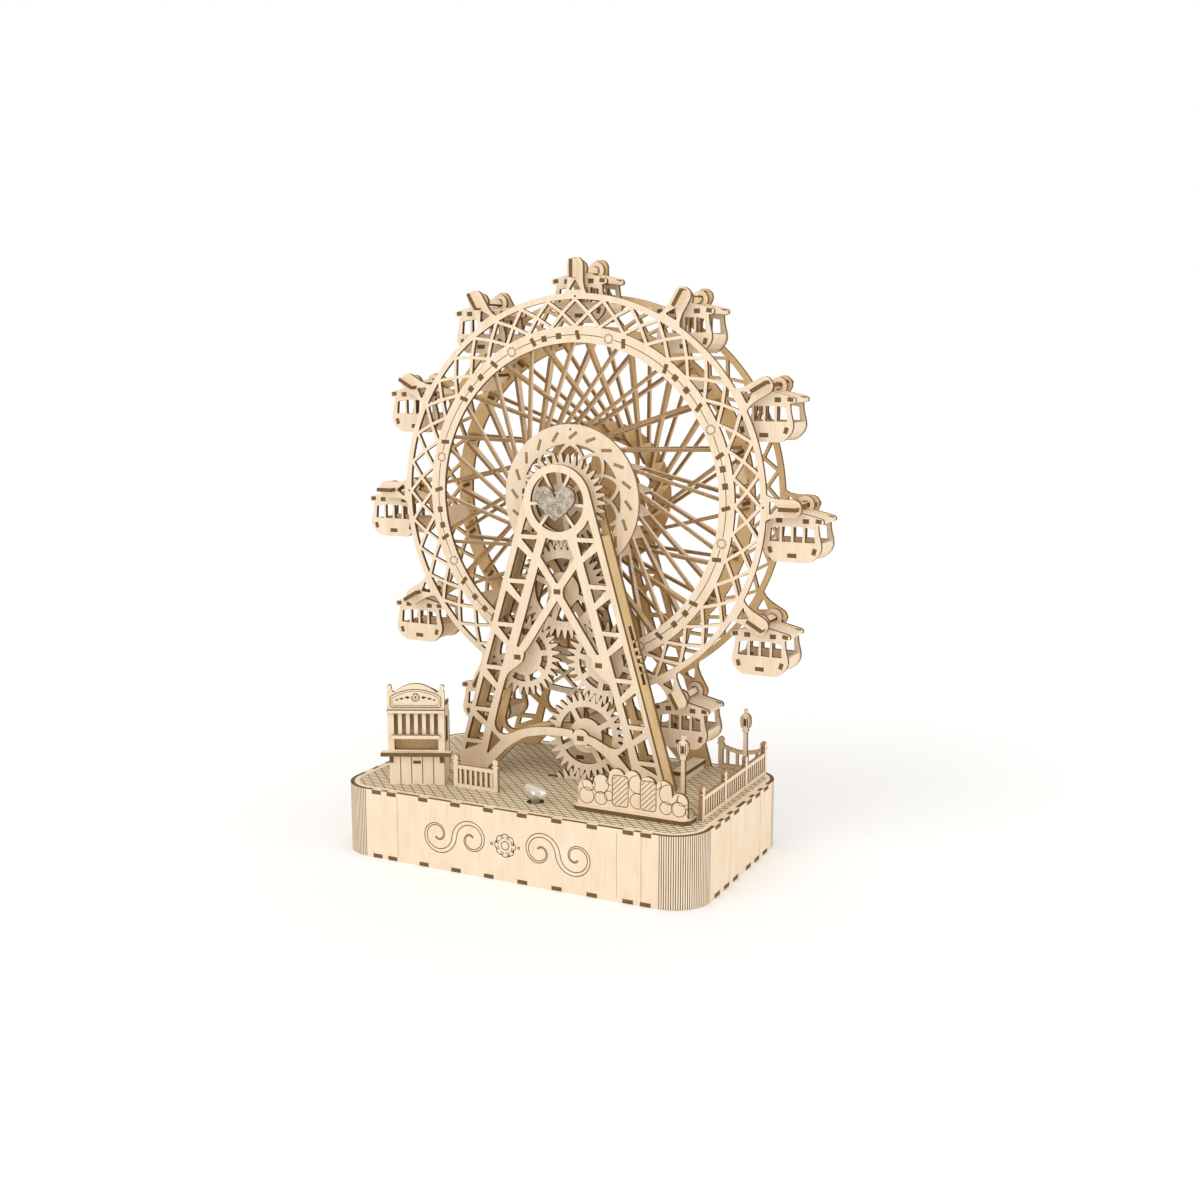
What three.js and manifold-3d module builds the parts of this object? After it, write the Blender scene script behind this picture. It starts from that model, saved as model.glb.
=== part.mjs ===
// Wooden ferris wheel music box, in millimetres, +Z up.
// The origin is the centre of the base's underside. X runs along the base, Y runs to the back.
import * as THREE from 'three';
import { mergeVertices } from 'three/addons/utils/BufferGeometryUtils.js';
import Module from 'manifold-3d';

const wasm = await Module();
wasm.setup();

// Plywood and clearances
const sheet = 2;
const slip = 0.15;
const gap = 0.3;
const overrun = 1;
const weld = 1e-5;
const quarterTurn = 90;
const fullTurn = 360;

// Base box
const base = { length: 190, depth: 115, height: 34, corner: 17.8, cornerSteps: 4 };
const baseTab = { length: 5.2, spacing: 17.9, pairSpacing: 8.6, pairs: 4 };
const sideTab = { length: 6.4, start: 8.4, spacing: 11.5, count: 3 };

// Wheel
const wheelRise = 137.5;
const wheelCentre = base.height + wheelRise;
const rimFront = 14.5;
const rimBack = 43.2;
const rim = {
  outer: 98.2, outerBand: 2.8, inner: 75, innerBand: 7.8, bays: 40, strut: 1.6,
};
const hanger = { reach: 11.4, height: 8.6, poke: 4.5, neckHeight: 2.8, neckStart: 4, tip: 1.1 };
const arm = { footHalf: 6, neckHalf: 4.2, holeHalf: 3.4, holeFoot: 1.4, holeTop: 4.4, shoulder: 5.6 };
const crossBar = { inset: 3.5, width: 10, angles: [-9.5, 44.7], quarters: 4 };

// Spoke wheels at the hub
const hub = {
  outer: 36.3, inner: 27, front: 9.2, slotRadius: 31, slotLength: 5.5, sides: 40,
  arches: 10, archBar: 1.8, archFoot: 12,
};
const spoke = {
  count: 20, skew: 50, endRadius: 80, landRadius: 74.5, depth: 3, apexAngle: 1, apexSplit: 1.6,
  farFall: 18, rootLength: 5, rootDepth: 10.5,
};
const axle = { radius: 3, sides: 16 };

// Gear train
const gear = { module: 1.2, addendum: 1.8, dedendum: 2.6, front: 1, rootShare: 0.38, boreSides: 12 };
const gearWindow = { count: 4, rimShare: 0.78, hubShare: 0.42, barDegrees: 16, steps: 2 };
const teeth = { hub: 35, centre: 37, idler: 31, bottom: 33, drive: 26 };
const idlerX = 22.3;
const bottomX = 12.4;
const driveX = 6;
const gearAxle = { radius: 2.2, tabWidth: 3.2, tabHeight: 2.2 };

// Tower. Its levels are heights above the deck.
const tower = {
  front: -5.2, inner: 5.3, rear: 50.4, headRadius: 17.9, headHole: 14.3, headSteps: 18,
  slope: 0.29, legWidth: 15.5, rail: 4.8, rung: 2.2, diagonal: 2.2, diagonalDrop: 8,
  firstRung: 122, rungSpacing: 21.8, rungs: 6, brace: 4.4, boss: 4.4,
  archHalf: 38, archRise: 21, archBand: 5.5, archSpread: 8, archSteps: 10,
  rib: 1.5, ribs: 6, ribStart: 30, ribHub: 5, ribSteps: 4, upperTop: 117, upperHalf: 6.2, upperWaist: 112,
  footTab: 8, footTabX: 49, windowTop: 52, windowHalf: 34.5, windowFoot: 28,
  windowCorner: 6, cornerSweep: 60, cornerSteps: 3,
  kneeDrop: 6.5, kneeHalf: 27, sideTop: 109, sideFoot: 69,
};
const board = { foot: 3, top: 122, slotLength: 29 };
const heart = { width: 21.4, height: 18, lobeShare: 0.28, dipShare: 0.16, steps: 6 };

// Musical movement
const movement = {
  keyInset: 18.6, plateThickness: 2.3, plateLeft: -14, plateRight: 27, plateInset: 5.5, plateBack: -4.5,
  barrelRadius: 11, barrelHeight: 15, cylinderRadius: 6.5, cylinderGap: 13.4, cylinderBack: -8,
  shaftRadius: 1.2, shaftEnd: 3.2, ear: 1.5, earHalf: 3, combTeeth: 18, combReach: 8, combLength: 12,
  combThick: 0.8, combSlit: 0.3, railWidth: 6, sides: 16,
};
const key = {
  stem: 2, hole: 4.2, plateHole: 2.6, top: 4.2, wing: 16, wingHeight: 4.1, wingThick: 3, wingTurn: 30,
};
const governor = {
  x: -7, inset: 7.5, post: 1.6, half: 5.2, width: 3, drop: 14.7, ear: 1.6, fly: 4.2,
  flyThick: 0.8, spindle: 0.6,
};

// Cabins
const cabin = {
  count: 12, front: 18.6, back: 39.1, hole: 2.1, eyelet: 4.2, eyeletSweep: 120, eyeletSides: 6,
  eave: 14.8, eaveTop: 4.5, eaveFoot: 7, neck: 2.2, wallTop: 12.4, waist: 14, waistDrop: 18.5,
  footHalf: 9.5, footDrop: 25, windowHalf: 10, windowTop: 9, windowFoot: 15.5, sill: 16.5,
};

// Ticket booth
const booth = {
  x: -58.6, y: -41, turn: 25, width: 27.6, depth: 22, counter: 17, shelfWidth: 34, shelfReach: 5,
  hatchFoot: 17.6, hatchTop: 23.4, barFoot: 25.4, barTop: 35.6, windowHalf: 10.7, bars: 5, bar: 1.9,
  shoulder: 45.5, archTop: 50.5, finialTop: 50, finial: 2.2, archSteps: 6, roof: 40, bracket: 3,
};

// Fences, lamps, bush sign and platform
const fence = {
  height: 11, postHeight: 16, post: 2.4, rail: 2, baluster: 1.3, foot: 1.6, thick: 2,
};
const fences = {
  left: { start: -40.2, length: 22.2, across: -34.1, posts: 2, balusters: 7 },
  right: { start: -30.3, length: 81.6, across: 86.4, posts: 4, balusters: 7 },
  back: { start: 62.6, length: 22.6, across: 53.6, posts: 2, balusters: 4 },
};
const lamp = { height: 34, post: 2.4, head: 7, headHeight: 9, foot: 6, footHeight: 1.6 };
const lampPlaces = { front: [71, -15], back: [79, 44.8] };
const bush = {
  left: 25.9, right: 84.6, front: -41.5, plateDepth: 10, signFront: -37.5, height: 19, inset: 2,
  bumpSweep: 80, bumpSteps: 5,
  humpShares: [0.62, 0.8, 1, 1, 0.9, 0.86, 0.6],
};
const platform = { x: 50, width: 7, front: 20, length: 27, height: 5 };

const deckLow = base.height - sheet;
const hangerRadius = rim.outer + hanger.reach;
const aboveDeck = (height) => base.height + height;
const wheelMiddle = (rimFront + rimBack) / 2;
const radians = THREE.MathUtils.degToRad;
const degrees = THREE.MathUtils.radToDeg;

// Solids
function solidOf(geometry) {
  const bare = geometry.clone();
  bare.deleteAttribute('normal');
  bare.deleteAttribute('uv');
  const merged = mergeVertices(bare, weld);
  const vertProperties = Float32Array.from(merged.attributes.position.array);
  const triVerts = Uint32Array.from(merged.index.array);
  return new wasm.Manifold(new wasm.Mesh({ numProp: 3, vertProperties, triVerts }));
}

function geometryOf(solid) {
  const mesh = solid.getMesh();
  const geometry = new THREE.BufferGeometry();
  geometry.setAttribute('position', new THREE.BufferAttribute(mesh.vertProperties, 3));
  geometry.setIndex(new THREE.BufferAttribute(mesh.triVerts, 1));
  return geometry;
}

const join = (solids) => solids.reduce((whole, piece) => whole.add(piece));
const cut = (solid, tools) => tools.reduce((whole, tool) => whole.subtract(tool), solid);

// Outlines
function wound(points, clockwise) {
  const vectors = points.map(([x, y]) => new THREE.Vector2(x, y));
  return THREE.ShapeUtils.isClockWise(vectors) === clockwise ? vectors : vectors.reverse();
}

function withHoles(outline, holes) {
  const shape = new THREE.Shape(wound(outline, false));
  holes.forEach((hole) => shape.holes.push(new THREE.Path(wound(hole, true))));
  return shape;
}

const polygon = (points) => withHoles(points, []);

// A point at a clock angle, in degrees from straight up
const polar = (radius, clock, x = 0, y = 0) => [
  x + radius * Math.sin(radians(clock)),
  y + radius * Math.cos(radians(clock)),
];

const range = (count) => Array.from({ length: count }, (_, index) => index);

function arc(radius, from, to, steps, x = 0, y = 0) {
  return range(steps + 1).map((index) => polar(radius, from + ((to - from) * index) / steps, x, y));
}

const circle = (radius, sides, x = 0, y = 0) => arc(radius, 0, fullTurn, sides, x, y).slice(1);
const spin = (count, index) => (index * fullTurn) / count;
const rectangle = (x0, x1, y0, y1) => [[x0, y0], [x1, y0], [x1, y1], [x0, y1]];
const mirrorX = (points) => points.map(([x, y]) => [-x, y]).reverse();

// Extruded plates: upright ones face the front, level ones lie flat
function upright(shape, front, thickness = sheet) {
  const geometry = new THREE.ExtrudeGeometry(shape, { depth: thickness, bevelEnabled: false });
  geometry.rotateX(Math.PI / 2);
  geometry.translate(0, front + thickness, 0);
  return solidOf(geometry);
}

function pierced(plate, holes, front) {
  return cut(plate, holes.map((hole) => upright(polygon(hole), front - overrun, sheet + overrun * 2)));
}

function level(shape, low, thickness = sheet) {
  const geometry = new THREE.ExtrudeGeometry(shape, { depth: thickness, bevelEnabled: false });
  geometry.translate(0, 0, low);
  return solidOf(geometry);
}

function block(x0, x1, y0, y1, z0, z1) {
  const geometry = new THREE.BoxGeometry(x1 - x0, y1 - y0, z1 - z0);
  geometry.translate((x0 + x1) / 2, (y0 + y1) / 2, (z0 + z1) / 2);
  return solidOf(geometry);
}

// Materials
const wood = (color, roughness = 0.75) => new THREE.MeshStandardMaterial({ color, roughness, metalness: 0 });
const metal = (color, roughness = 0.3) => new THREE.MeshStandardMaterial({ color, roughness, metalness: 1 });
const paleWood = wood('#f5ddb5');
const deckWood = wood('#cdb188');
const tanWood = wood('#d9b57e');
const heartWood = wood('#a99c86');
const chrome = metal('#dcdde0', 0.15);
const brass = metal('#c9a24d');
const steel = metal('#9fa3a8');

const model = new THREE.Group();
model.name = 'ferris_wheel_music_box';

function place(name, solid, material, x = 0, y = 0, z = 0) {
  const mesh = new THREE.Mesh(geometryOf(solid), material);
  mesh.name = name;
  mesh.position.set(x, y, z);
  model.add(mesh);
  return mesh;
}

// Base
function roundedRectangle(length, depth, radius) {
  const cornerX = length / 2 - radius;
  const cornerY = depth / 2 - radius;
  const corners = [[cornerX, cornerY], [cornerX, -cornerY], [-cornerX, -cornerY], [-cornerX, cornerY]];
  return corners.flatMap(([x, y], index) => (
    arc(radius, index * quarterTurn, (index + 1) * quarterTurn, base.cornerSteps, x, y)));
}

const baseOutline = (inset) =>
  roundedRectangle(base.length - inset * 2, base.depth - inset * 2, base.corner - inset);

// Tab centres along a long wall, evenly about its middle with one close pair at each end
function longTabPlaces() {
  const evenly = range(baseTab.pairs).map((index) => baseTab.spacing * (index + 1 / 2));
  const half = [...evenly, evenly[baseTab.pairs - 1] + baseTab.pairSpacing];
  return half.flatMap((place) => [-place, place]);
}

// Tab centres along a short wall, in two groups about its middle
function shortTabPlaces() {
  const half = range(sideTab.count).map((index) => sideTab.start + sideTab.spacing * index);
  return half.flatMap((place) => [-place, place]);
}

function baseTabs(low, high, slack) {
  const half = baseTab.length / 2 + slack;
  const sideHalf = sideTab.length / 2 + slack;
  const inX = base.length / 2 - sheet * 2;
  const inY = base.depth / 2 - sheet * 2;
  const outX = base.length / 2 + (slack > 0 ? overrun : 0);
  const outY = base.depth / 2 + (slack > 0 ? overrun : 0);
  const long = longTabPlaces().flatMap((x) => [
    block(x - half, x + half, -outY, -inY, low, high),
    block(x - half, x + half, inY, outY, low, high),
  ]);
  const short = shortTabPlaces().flatMap((y) => [
    block(-outX, -inX, y - sideHalf, y + sideHalf, low, high),
    block(inX, outX, y - sideHalf, y + sideHalf, low, high),
  ]);
  return [...long, ...short];
}

function wallRing() {
  const ring = level(withHoles(baseOutline(0), [baseOutline(sheet)]), 0, base.height);
  return cut(ring, baseTabs(deckLow - slip, base.height + overrun, slip));
}

// Gear centres, worked out down the train from the hub
const pitchRadius = (count) => (count * gear.module) / 2;
const reach = (first, second) => pitchRadius(first) + pitchRadius(second);
const dropTo = (distance, across) => Math.sqrt(distance ** 2 - across ** 2);

const centreGear = { x: 0, z: wheelCentre - reach(teeth.hub, teeth.centre) };
const idlerZ = centreGear.z - dropTo(reach(teeth.centre, teeth.idler), idlerX);
const bottomZ = idlerZ - dropTo(reach(teeth.idler, teeth.bottom), idlerX - bottomX);
const driveZ = bottomZ - dropTo(reach(teeth.bottom, teeth.drive), bottomX - driveX);
const tipRadius = (count) => pitchRadius(count) + gear.addendum;

// Phase that puts a gap of the driven gear against a tooth of the driving gear
function meshPhase(from, to) {
  const alpha = Math.atan2(to.z - from.z, to.x - from.x);
  const turns = 1 / 2 - (from.teeth * (alpha - from.phase)) / (2 * Math.PI);
  return alpha + Math.PI - (turns * 2 * Math.PI) / to.teeth;
}

function gearPart(count, x, z, driver) {
  const part = { teeth: count, x, z, phase: 0 };
  return driver ? { ...part, phase: meshPhase(driver, part) } : part;
}

const hubGear = gearPart(teeth.hub, 0, wheelCentre);
const middleGear = gearPart(teeth.centre, centreGear.x, centreGear.z, hubGear);
const rightGear = gearPart(teeth.idler, idlerX, idlerZ, middleGear);
const leftGear = gearPart(teeth.idler, -idlerX, idlerZ, middleGear);
const bottomGear = gearPart(teeth.bottom, bottomX, bottomZ, rightGear);
const driveGear = gearPart(teeth.drive, driveX, driveZ, bottomGear);

function gearOutline(part) {
  const pitch = (2 * Math.PI) / part.teeth;
  const root = pitchRadius(part.teeth) - gear.dedendum;
  const tip = tipRadius(part.teeth);
  const at = (radius, angle) => [radius * Math.cos(angle), radius * Math.sin(angle)];
  return range(part.teeth).flatMap((index) => {
    const angle = part.phase + index * pitch;
    return [
      at(root, angle - pitch * gear.rootShare),
      at(tip, angle),
      at(root, angle + pitch * gear.rootShare),
    ];
  });
}

function gearSolid(part, bore, windows = gearWindow.count) {
  const root = pitchRadius(part.teeth) - gear.dedendum;
  const sweep = fullTurn / gearWindow.count;
  const bars = gearWindow.barDegrees / 2;
  const holes = range(windows).map((index) => {
    const edge = (radius) => arc(radius, index * sweep + bars, (index + 1) * sweep - bars, gearWindow.steps);
    return [...edge(root * gearWindow.rimShare), ...edge(root * gearWindow.hubShare).reverse()];
  });
  const shape = withHoles(gearOutline(part), [circle(bore, gear.boreSides), ...holes]);
  return upright(shape, gear.front);
}

// Tower plates. A leg's outer edge is the tangent to the head.
const legAngle = Math.atan(tower.slope);
const shoulderX = tower.headRadius * Math.cos(legAngle);
const shoulderZ = wheelCentre + tower.headRadius * Math.sin(legAngle);
const legOuter = (z) => shoulderX + tower.slope * (shoulderZ - z);
const legInner = (z) => legOuter(z) - tower.legWidth;

function archPoints(half, rise) {
  return range(tower.archSteps + 1).map((index) => {
    const turn = (Math.PI * index) / tower.archSteps;
    return [-half * Math.cos(turn), base.height + rise * Math.sin(turn)];
  });
}

function towerOutline() {
  const start = quarterTurn - degrees(legAngle);
  return [
    ...archPoints(tower.archHalf, tower.archRise),
    [legOuter(base.height), base.height],
    ...arc(tower.headRadius, start, -start, tower.headSteps, 0, wheelCentre),
    [-legOuter(base.height), base.height],
  ];
}

function ladderHoles() {
  const outside = (z) => legOuter(z) - tower.rail;
  const inside = (z) => legInner(z) + tower.rail;
  const half = tower.rung / 2;
  const rungs = range(tower.rungs).map((index) => aboveDeck(tower.firstRung) - tower.rungSpacing * index);
  const cells = rungs.slice(0, -1).flatMap((z) => {
    const top = z - half;
    const foot = z - tower.rungSpacing + half;
    const drop = top - tower.diagonalDrop;
    return [
      [[inside(top), top], [outside(top), top], [inside(drop), drop]],
      [
        [outside(top - tower.diagonal), top - tower.diagonal], [outside(foot), foot],
        [inside(foot), foot], [inside(drop - tower.diagonal), drop - tower.diagonal],
      ],
    ];
  });
  return [...cells, ...cells.map(mirrorX)];
}

// The X between the legs: from the rails to the crossing and on to the two knees
const knee = { x: idlerX, z: idlerZ };
const braceLean = Math.atan2(knee.x, centreGear.z - knee.z);
const braceHalf = tower.brace / 2;
const braceAcross = braceHalf / Math.cos(braceLean);
const braceAlong = braceHalf / Math.sin(braceLean);
const braceX = (z) => Math.abs(centreGear.z - z) * Math.tan(braceLean);

function upperWindow() {
  const waist = aboveDeck(tower.upperWaist);
  const top = aboveDeck(tower.upperTop);
  return [
    [0, centreGear.z + braceAlong], [braceX(waist) - braceAcross, waist],
    [tower.upperHalf, top], [-tower.upperHalf, top],
    [-braceX(waist) + braceAcross, waist],
  ];
}

function sideWindows() {
  const sideTop = aboveDeck(tower.sideTop);
  const sideFoot = aboveDeck(tower.sideFoot);
  const right = [
    [braceAcross, centreGear.z], [legInner(sideTop) - sheet, sideTop], [legInner(sideFoot) - sheet, sideFoot],
    [braceX(sideFoot) + braceAcross, sideFoot],
  ];
  return [right, mirrorX(right)];
}

function lowerWindow() {
  const corner = tower.windowCorner;
  const topHalf = tower.archHalf + tower.archSpread;
  const topRise = tower.archRise + tower.archBand;
  const kneeFoot = knee.z - tower.kneeDrop;
  const crown = archPoints(topHalf, topRise).filter(([x]) => Math.abs(x) < tower.windowHalf - corner);
  const side = [
    [0, centreGear.z - braceAlong], [braceX(knee.z + tower.boss) - braceAcross, knee.z + tower.boss],
    [knee.x - tower.boss, knee.z], [tower.kneeHalf - tower.boss, kneeFoot], [tower.kneeHalf, kneeFoot],
    [tower.windowHalf - overrun, aboveDeck(tower.windowTop) - corner],
    ...arc(corner, quarterTurn, quarterTurn + tower.cornerSweep, tower.cornerSteps,
      tower.windowHalf - corner + overrun, aboveDeck(tower.windowFoot)),
  ];
  return [...side, ...crown.reverse(), ...mirrorX(side.slice(1))];
}

const axlePlaces = [
  ['centre', middleGear], ['right', rightGear], ['left', leftGear], ['bottom', bottomGear],
];

function axleSlots(slack) {
  const halfWidth = gearAxle.tabWidth / 2 + slack;
  const halfHeight = gearAxle.tabHeight / 2 + slack;
  return axlePlaces.map(([, part]) => rectangle(
    part.x - halfWidth, part.x + halfWidth, part.z - halfHeight, part.z + halfHeight,
  ));
}

function footTabs(front, slack) {
  const half = tower.footTab / 2 + slack;
  const low = slack > 0 ? deckLow - overrun : deckLow;
  const high = base.height + (slack > 0 ? overrun : sheet);
  return [-tower.footTabX, tower.footTabX].map((x) => (
    block(x - half, x + half, front - slack, front + sheet + slack, low, high)));
}

function towerPlate(front, holes) {
  const openings = [upperWindow(), ...sideWindows(), lowerWindow()];
  const plain = upright(polygon(towerOutline()), front);
  const boss = upright(polygon(circle(tower.boss, gear.boreSides, bottomX, bottomZ)), front);
  const opened = pierced(plain, openings, front);
  return pierced(join([opened, boss, ...footTabs(front, 0)]), holes, front);
}

function headSectors() {
  const bar = tower.rib / 2;
  return range(tower.ribs).map((index) => {
    const from = tower.ribStart + spin(tower.ribs, index);
    const to = tower.ribStart + spin(tower.ribs, index + 1);
    const sector = (radius, steps) => {
      const lean = degrees(bar / radius);
      return arc(radius, from + lean, to - lean, steps, 0, wheelCentre);
    };
    return [...sector(tower.headHole, tower.ribSteps), ...sector(tower.ribHub, tower.ribSteps / 2).reverse()];
  });
}

function sideBoard() {
  const length = (board.top - board.foot) / Math.cos(legAngle);
  const depth = tower.inner - tower.front - sheet - slip * 2;
  const plank = block(-sheet, 0, 0, depth, 0, length);
  const middle = idlerZ + pitchRadius(teeth.idler) * Math.sin(legAngle);
  const along = (middle - aboveDeck(board.foot)) / Math.cos(legAngle);
  const slotFront = gear.front - tower.front - sheet - slip - gap * 2;
  const slot = block(
    -sheet - overrun, overrun, slotFront, slotFront + sheet + gap * 4,
    along - board.slotLength / 2, along + board.slotLength / 2,
  );
  return plank.subtract(slot);
}

function towerBoards() {
  const y = tower.front + sheet + slip;
  const low = aboveDeck(board.foot);
  const foot = legOuter(low);
  const right = place('tower_right_board', sideBoard(), tanWood, foot - gap, y, low);
  right.rotation.y = -legAngle;
  const left = place('tower_left_board', sideBoard().mirror([1, 0, 0]), tanWood, gap - foot, y, low);
  left.rotation.y = legAngle;
}

function heartPlate() {
  const half = heart.width / 2;
  const lobe = heart.width * heart.lobeShare;
  const top = heart.height / 2;
  const shape = new THREE.Shape();
  shape.moveTo(0, top - heart.height * heart.dipShare);
  shape.bezierCurveTo(lobe / 2, top, half, top, half, lobe / 2);
  shape.bezierCurveTo(half, -lobe / 2, lobe, -top / 2, 0, -top);
  shape.bezierCurveTo(-lobe, -top / 2, -half, -lobe / 2, -half, lobe / 2);
  shape.bezierCurveTo(-half, top, -lobe / 2, top, 0, top - heart.height * heart.dipShare);
  const points = shape.getPoints(heart.steps).slice(0, -1).map(({ x, y }) => [x, y + wheelCentre]);
  return upright(polygon(points), tower.front - sheet);
}

function gearAxleSolid(part) {
  const rodFront = tower.front + sheet + slip;
  const rodLength = tower.inner - rodFront - slip;
  const rod = upright(polygon(circle(gearAxle.radius, gear.boreSides, part.x, part.z)), rodFront, rodLength);
  const half = gearAxle.tabWidth / 2;
  const tab = block(
    part.x - half, part.x + half, tower.front, tower.inner + sheet,
    part.z - gearAxle.tabHeight / 2, part.z + gearAxle.tabHeight / 2,
  );
  return rod.add(tab);
}

// Rims
const bayDegrees = fullTurn / rim.bays;

function latticeHoles() {
  const high = rim.outer - rim.outerBand;
  const low = rim.inner + rim.innerBand;
  const middle = (high + low) / 2;
  const lean = Math.atan2(middle * radians(bayDegrees), high - low);
  const across = (radius) => degrees(rim.strut / Math.cos(lean) / 2 / radius);
  const along = rim.strut / Math.sin(lean) / 2;
  return range(rim.bays).flatMap((index) => {
    const node = index * bayDegrees;
    const half = bayDegrees / 2;
    return [
      [polar(high, node + across(high)), polar(high, node + bayDegrees - across(high)),
        polar(middle + along, node + half)],
      [polar(low, node + across(low)), polar(middle - along, node + half),
        polar(low, node + bayDegrees - across(low))],
      [polar(high - along, node), polar(middle, node + half - across(middle)),
        polar(low + along, node), polar(middle, node - half + across(middle))],
    ];
  });
}

function turned(points, clock) {
  const angle = radians(clock);
  return points.map(([x, y]) => [
    x * Math.cos(angle) + y * Math.sin(angle),
    y * Math.cos(angle) - x * Math.sin(angle),
  ]);
}

const hangerTop = hangerRadius + hanger.height / 2;

function armOutline() {
  const foot = rim.outer - rim.outerBand / 2;
  const shoulder = rim.outer + arm.shoulder;
  const tip = hangerTop + hanger.tip;
  const half = arm.neckHalf;
  const chamfer = half / 2;
  return [
    [-arm.footHalf, foot], [arm.footHalf, foot], [half, shoulder], [half, tip - chamfer],
    [chamfer, tip], [-chamfer, tip], [-half, tip - chamfer], [-half, shoulder],
  ];
}

function armHole() {
  const low = rim.outer + arm.holeFoot;
  return [[-arm.holeHalf, low], [arm.holeHalf, low], [0, low + arm.holeTop]];
}

function rimPlate(front, slack) {
  const ring = withHoles(circle(rim.outer, rim.bays), [circle(rim.inner, rim.bays), ...latticeHoles()]);
  const arms = range(cabin.count).map((index) => {
    const angle = spin(cabin.count, index);
    return upright(withHoles(turned(armOutline(), angle), [turned(armHole(), angle)]), front);
  });
  const plate = join([upright(ring, front), ...arms]);
  return slack > 0 ? cut(plate, hangerBars(slack)) : plate;
}

function hangerBars(slack) {
  const half = sheet / 2 + slack;
  const low = hangerRadius - hanger.height / 2 - slack;
  const front = rimFront - hanger.poke;
  const length = rimBack + hanger.poke - front;
  const neckFront = rimFront + hanger.neckStart;
  const neckLength = rimBack - rimFront - hanger.neckStart * 2;
  return range(cabin.count).map((index) => {
    const angle = spin(cabin.count, index);
    const section = turned(rectangle(-half, half, low, hangerTop + slack), angle);
    const bar = upright(polygon(section), front, length);
    if (slack > 0) return bar;
    const neck = hanger.neckHeight / 2;
    const away = [
      rectangle(-sheet, sheet, low - overrun, hangerRadius - neck),
      rectangle(-sheet, sheet, hangerRadius + neck, hangerTop + overrun),
    ];
    return cut(bar, away.map((points) => upright(polygon(turned(points, angle)), neckFront, neckLength)));
  });
}

function crossBars() {
  const half = crossBar.width / 2;
  const front = rimFront + sheet;
  const length = rimBack - sheet - front;
  const low = rim.inner + crossBar.inset - sheet / 2;
  return range(crossBar.quarters).flatMap((quarter) => crossBar.angles.map((angle) => upright(
    polygon(turned(rectangle(-half, half, low, low + sheet), angle + spin(crossBar.quarters, quarter))),
    front, length,
  )));
}

// One spoke wheel: the hub plate and its plates, which fork to the near rim and the far rim.
// How far along a skewed plate a radius is reached, from the slot circle
function alongTo(radius) {
  const start = hub.slotRadius * Math.cos(radians(spoke.skew));
  return Math.sqrt(start ** 2 + radius ** 2 - hub.slotRadius ** 2) - start;
}

function spokeClock(index) {
  const end = Math.atan2(
    Math.sin(radians(spoke.skew)),
    hub.slotRadius / alongTo(spoke.endRadius) + Math.cos(radians(spoke.skew)),
  );
  return spoke.apexAngle - spoke.apexSplit - degrees(end) + spin(spoke.count, index);
}

function hubPlate() {
  const half = fullTurn / hub.arches / 2;
  const lean = (radius) => degrees(hub.archBar / 2 / radius);
  const foot = hub.archFoot;
  const mid = (hub.inner + foot) / 2;
  const holes = range(hub.arches).map((index) => {
    const at = spin(hub.arches, index);
    return [
      polar(foot, at - half + lean(foot)), polar(mid, at - half + lean(mid)), polar(hub.inner, at),
      polar(mid, at + half - lean(mid)), polar(foot, at + half - lean(foot)),
    ];
  });
  const bore = circle(axle.radius + gap / 2, axle.sides);
  return upright(withHoles(circle(hub.outer, hub.sides), [bore, ...holes]), hub.front);
}

function forkPlate() {
  const end = alongTo(spoke.endRadius);
  const land = alongTo(spoke.landRadius);
  const nearEnd = rimFront + sheet;
  const farEnd = rimBack - sheet;
  const plateBack = hub.front + sheet;
  const farRoot = farEnd - spoke.farFall;
  const root = hub.slotLength / 2;
  const crotch = root + spoke.rootLength;
  const climb = (spoke.farFall * spoke.rootLength) / (end - root);
  const outline = [
    [-root, hub.front + sheet / 2], [root, hub.front + sheet / 2], [root, plateBack],
    [land, nearEnd], [end, nearEnd], [end, nearEnd + spoke.depth],
    [crotch, plateBack + spoke.depth], [crotch, farRoot - spoke.depth + climb],
    [end, farEnd - spoke.depth], [end, farEnd], [land, farEnd], [root, farRoot],
    [-root, plateBack + spoke.rootDepth / 2],
  ];
  const geometry = new THREE.ExtrudeGeometry(polygon(outline), { depth: sheet, bevelEnabled: false });
  geometry.translate(0, 0, -sheet / 2);
  geometry.rotateY(radians(spoke.skew) - Math.PI / 2);
  return geometry;
}

// The fork runs along local X turned by the skew and stands on the slot circle
function spokeWheel() {
  const forks = range(spoke.count).map((index) => {
    const geometry = forkPlate();
    geometry.translate(0, 0, hub.slotRadius);
    geometry.rotateY(radians(spokeClock(index)));
    return solidOf(geometry);
  });
  return join([hubPlate(), ...forks]);
}

// The far side is the near one turned about the upright axis, a little further round
function farSide(solid) {
  return solid
    .rotate([0, 0, fullTurn / 2])
    .translate([0, wheelMiddle * 2, 0])
    .rotate([0, 2 * spoke.apexAngle, 0]);
}

// Cabins, about their pivot
function cabinPanel(front) {
  const side = [
    [cabin.eave, -cabin.eaveTop], [cabin.eave, -cabin.eaveFoot], [cabin.wallTop, -cabin.eaveFoot],
    [cabin.waist, -cabin.waistDrop], [cabin.footHalf, -cabin.footDrop],
  ];
  const peak = arc(cabin.eyelet, -cabin.eyeletSweep, cabin.eyeletSweep, cabin.eyeletSides - 1);
  const outline = [...peak, ...side, ...mirrorX(side)];
  const window = rectangle(-cabin.windowHalf, cabin.windowHalf, -cabin.windowFoot, -cabin.windowTop);
  return upright(withHoles(outline, [circle(cabin.hole, cabin.eyeletSides), window]), front);
}

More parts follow.
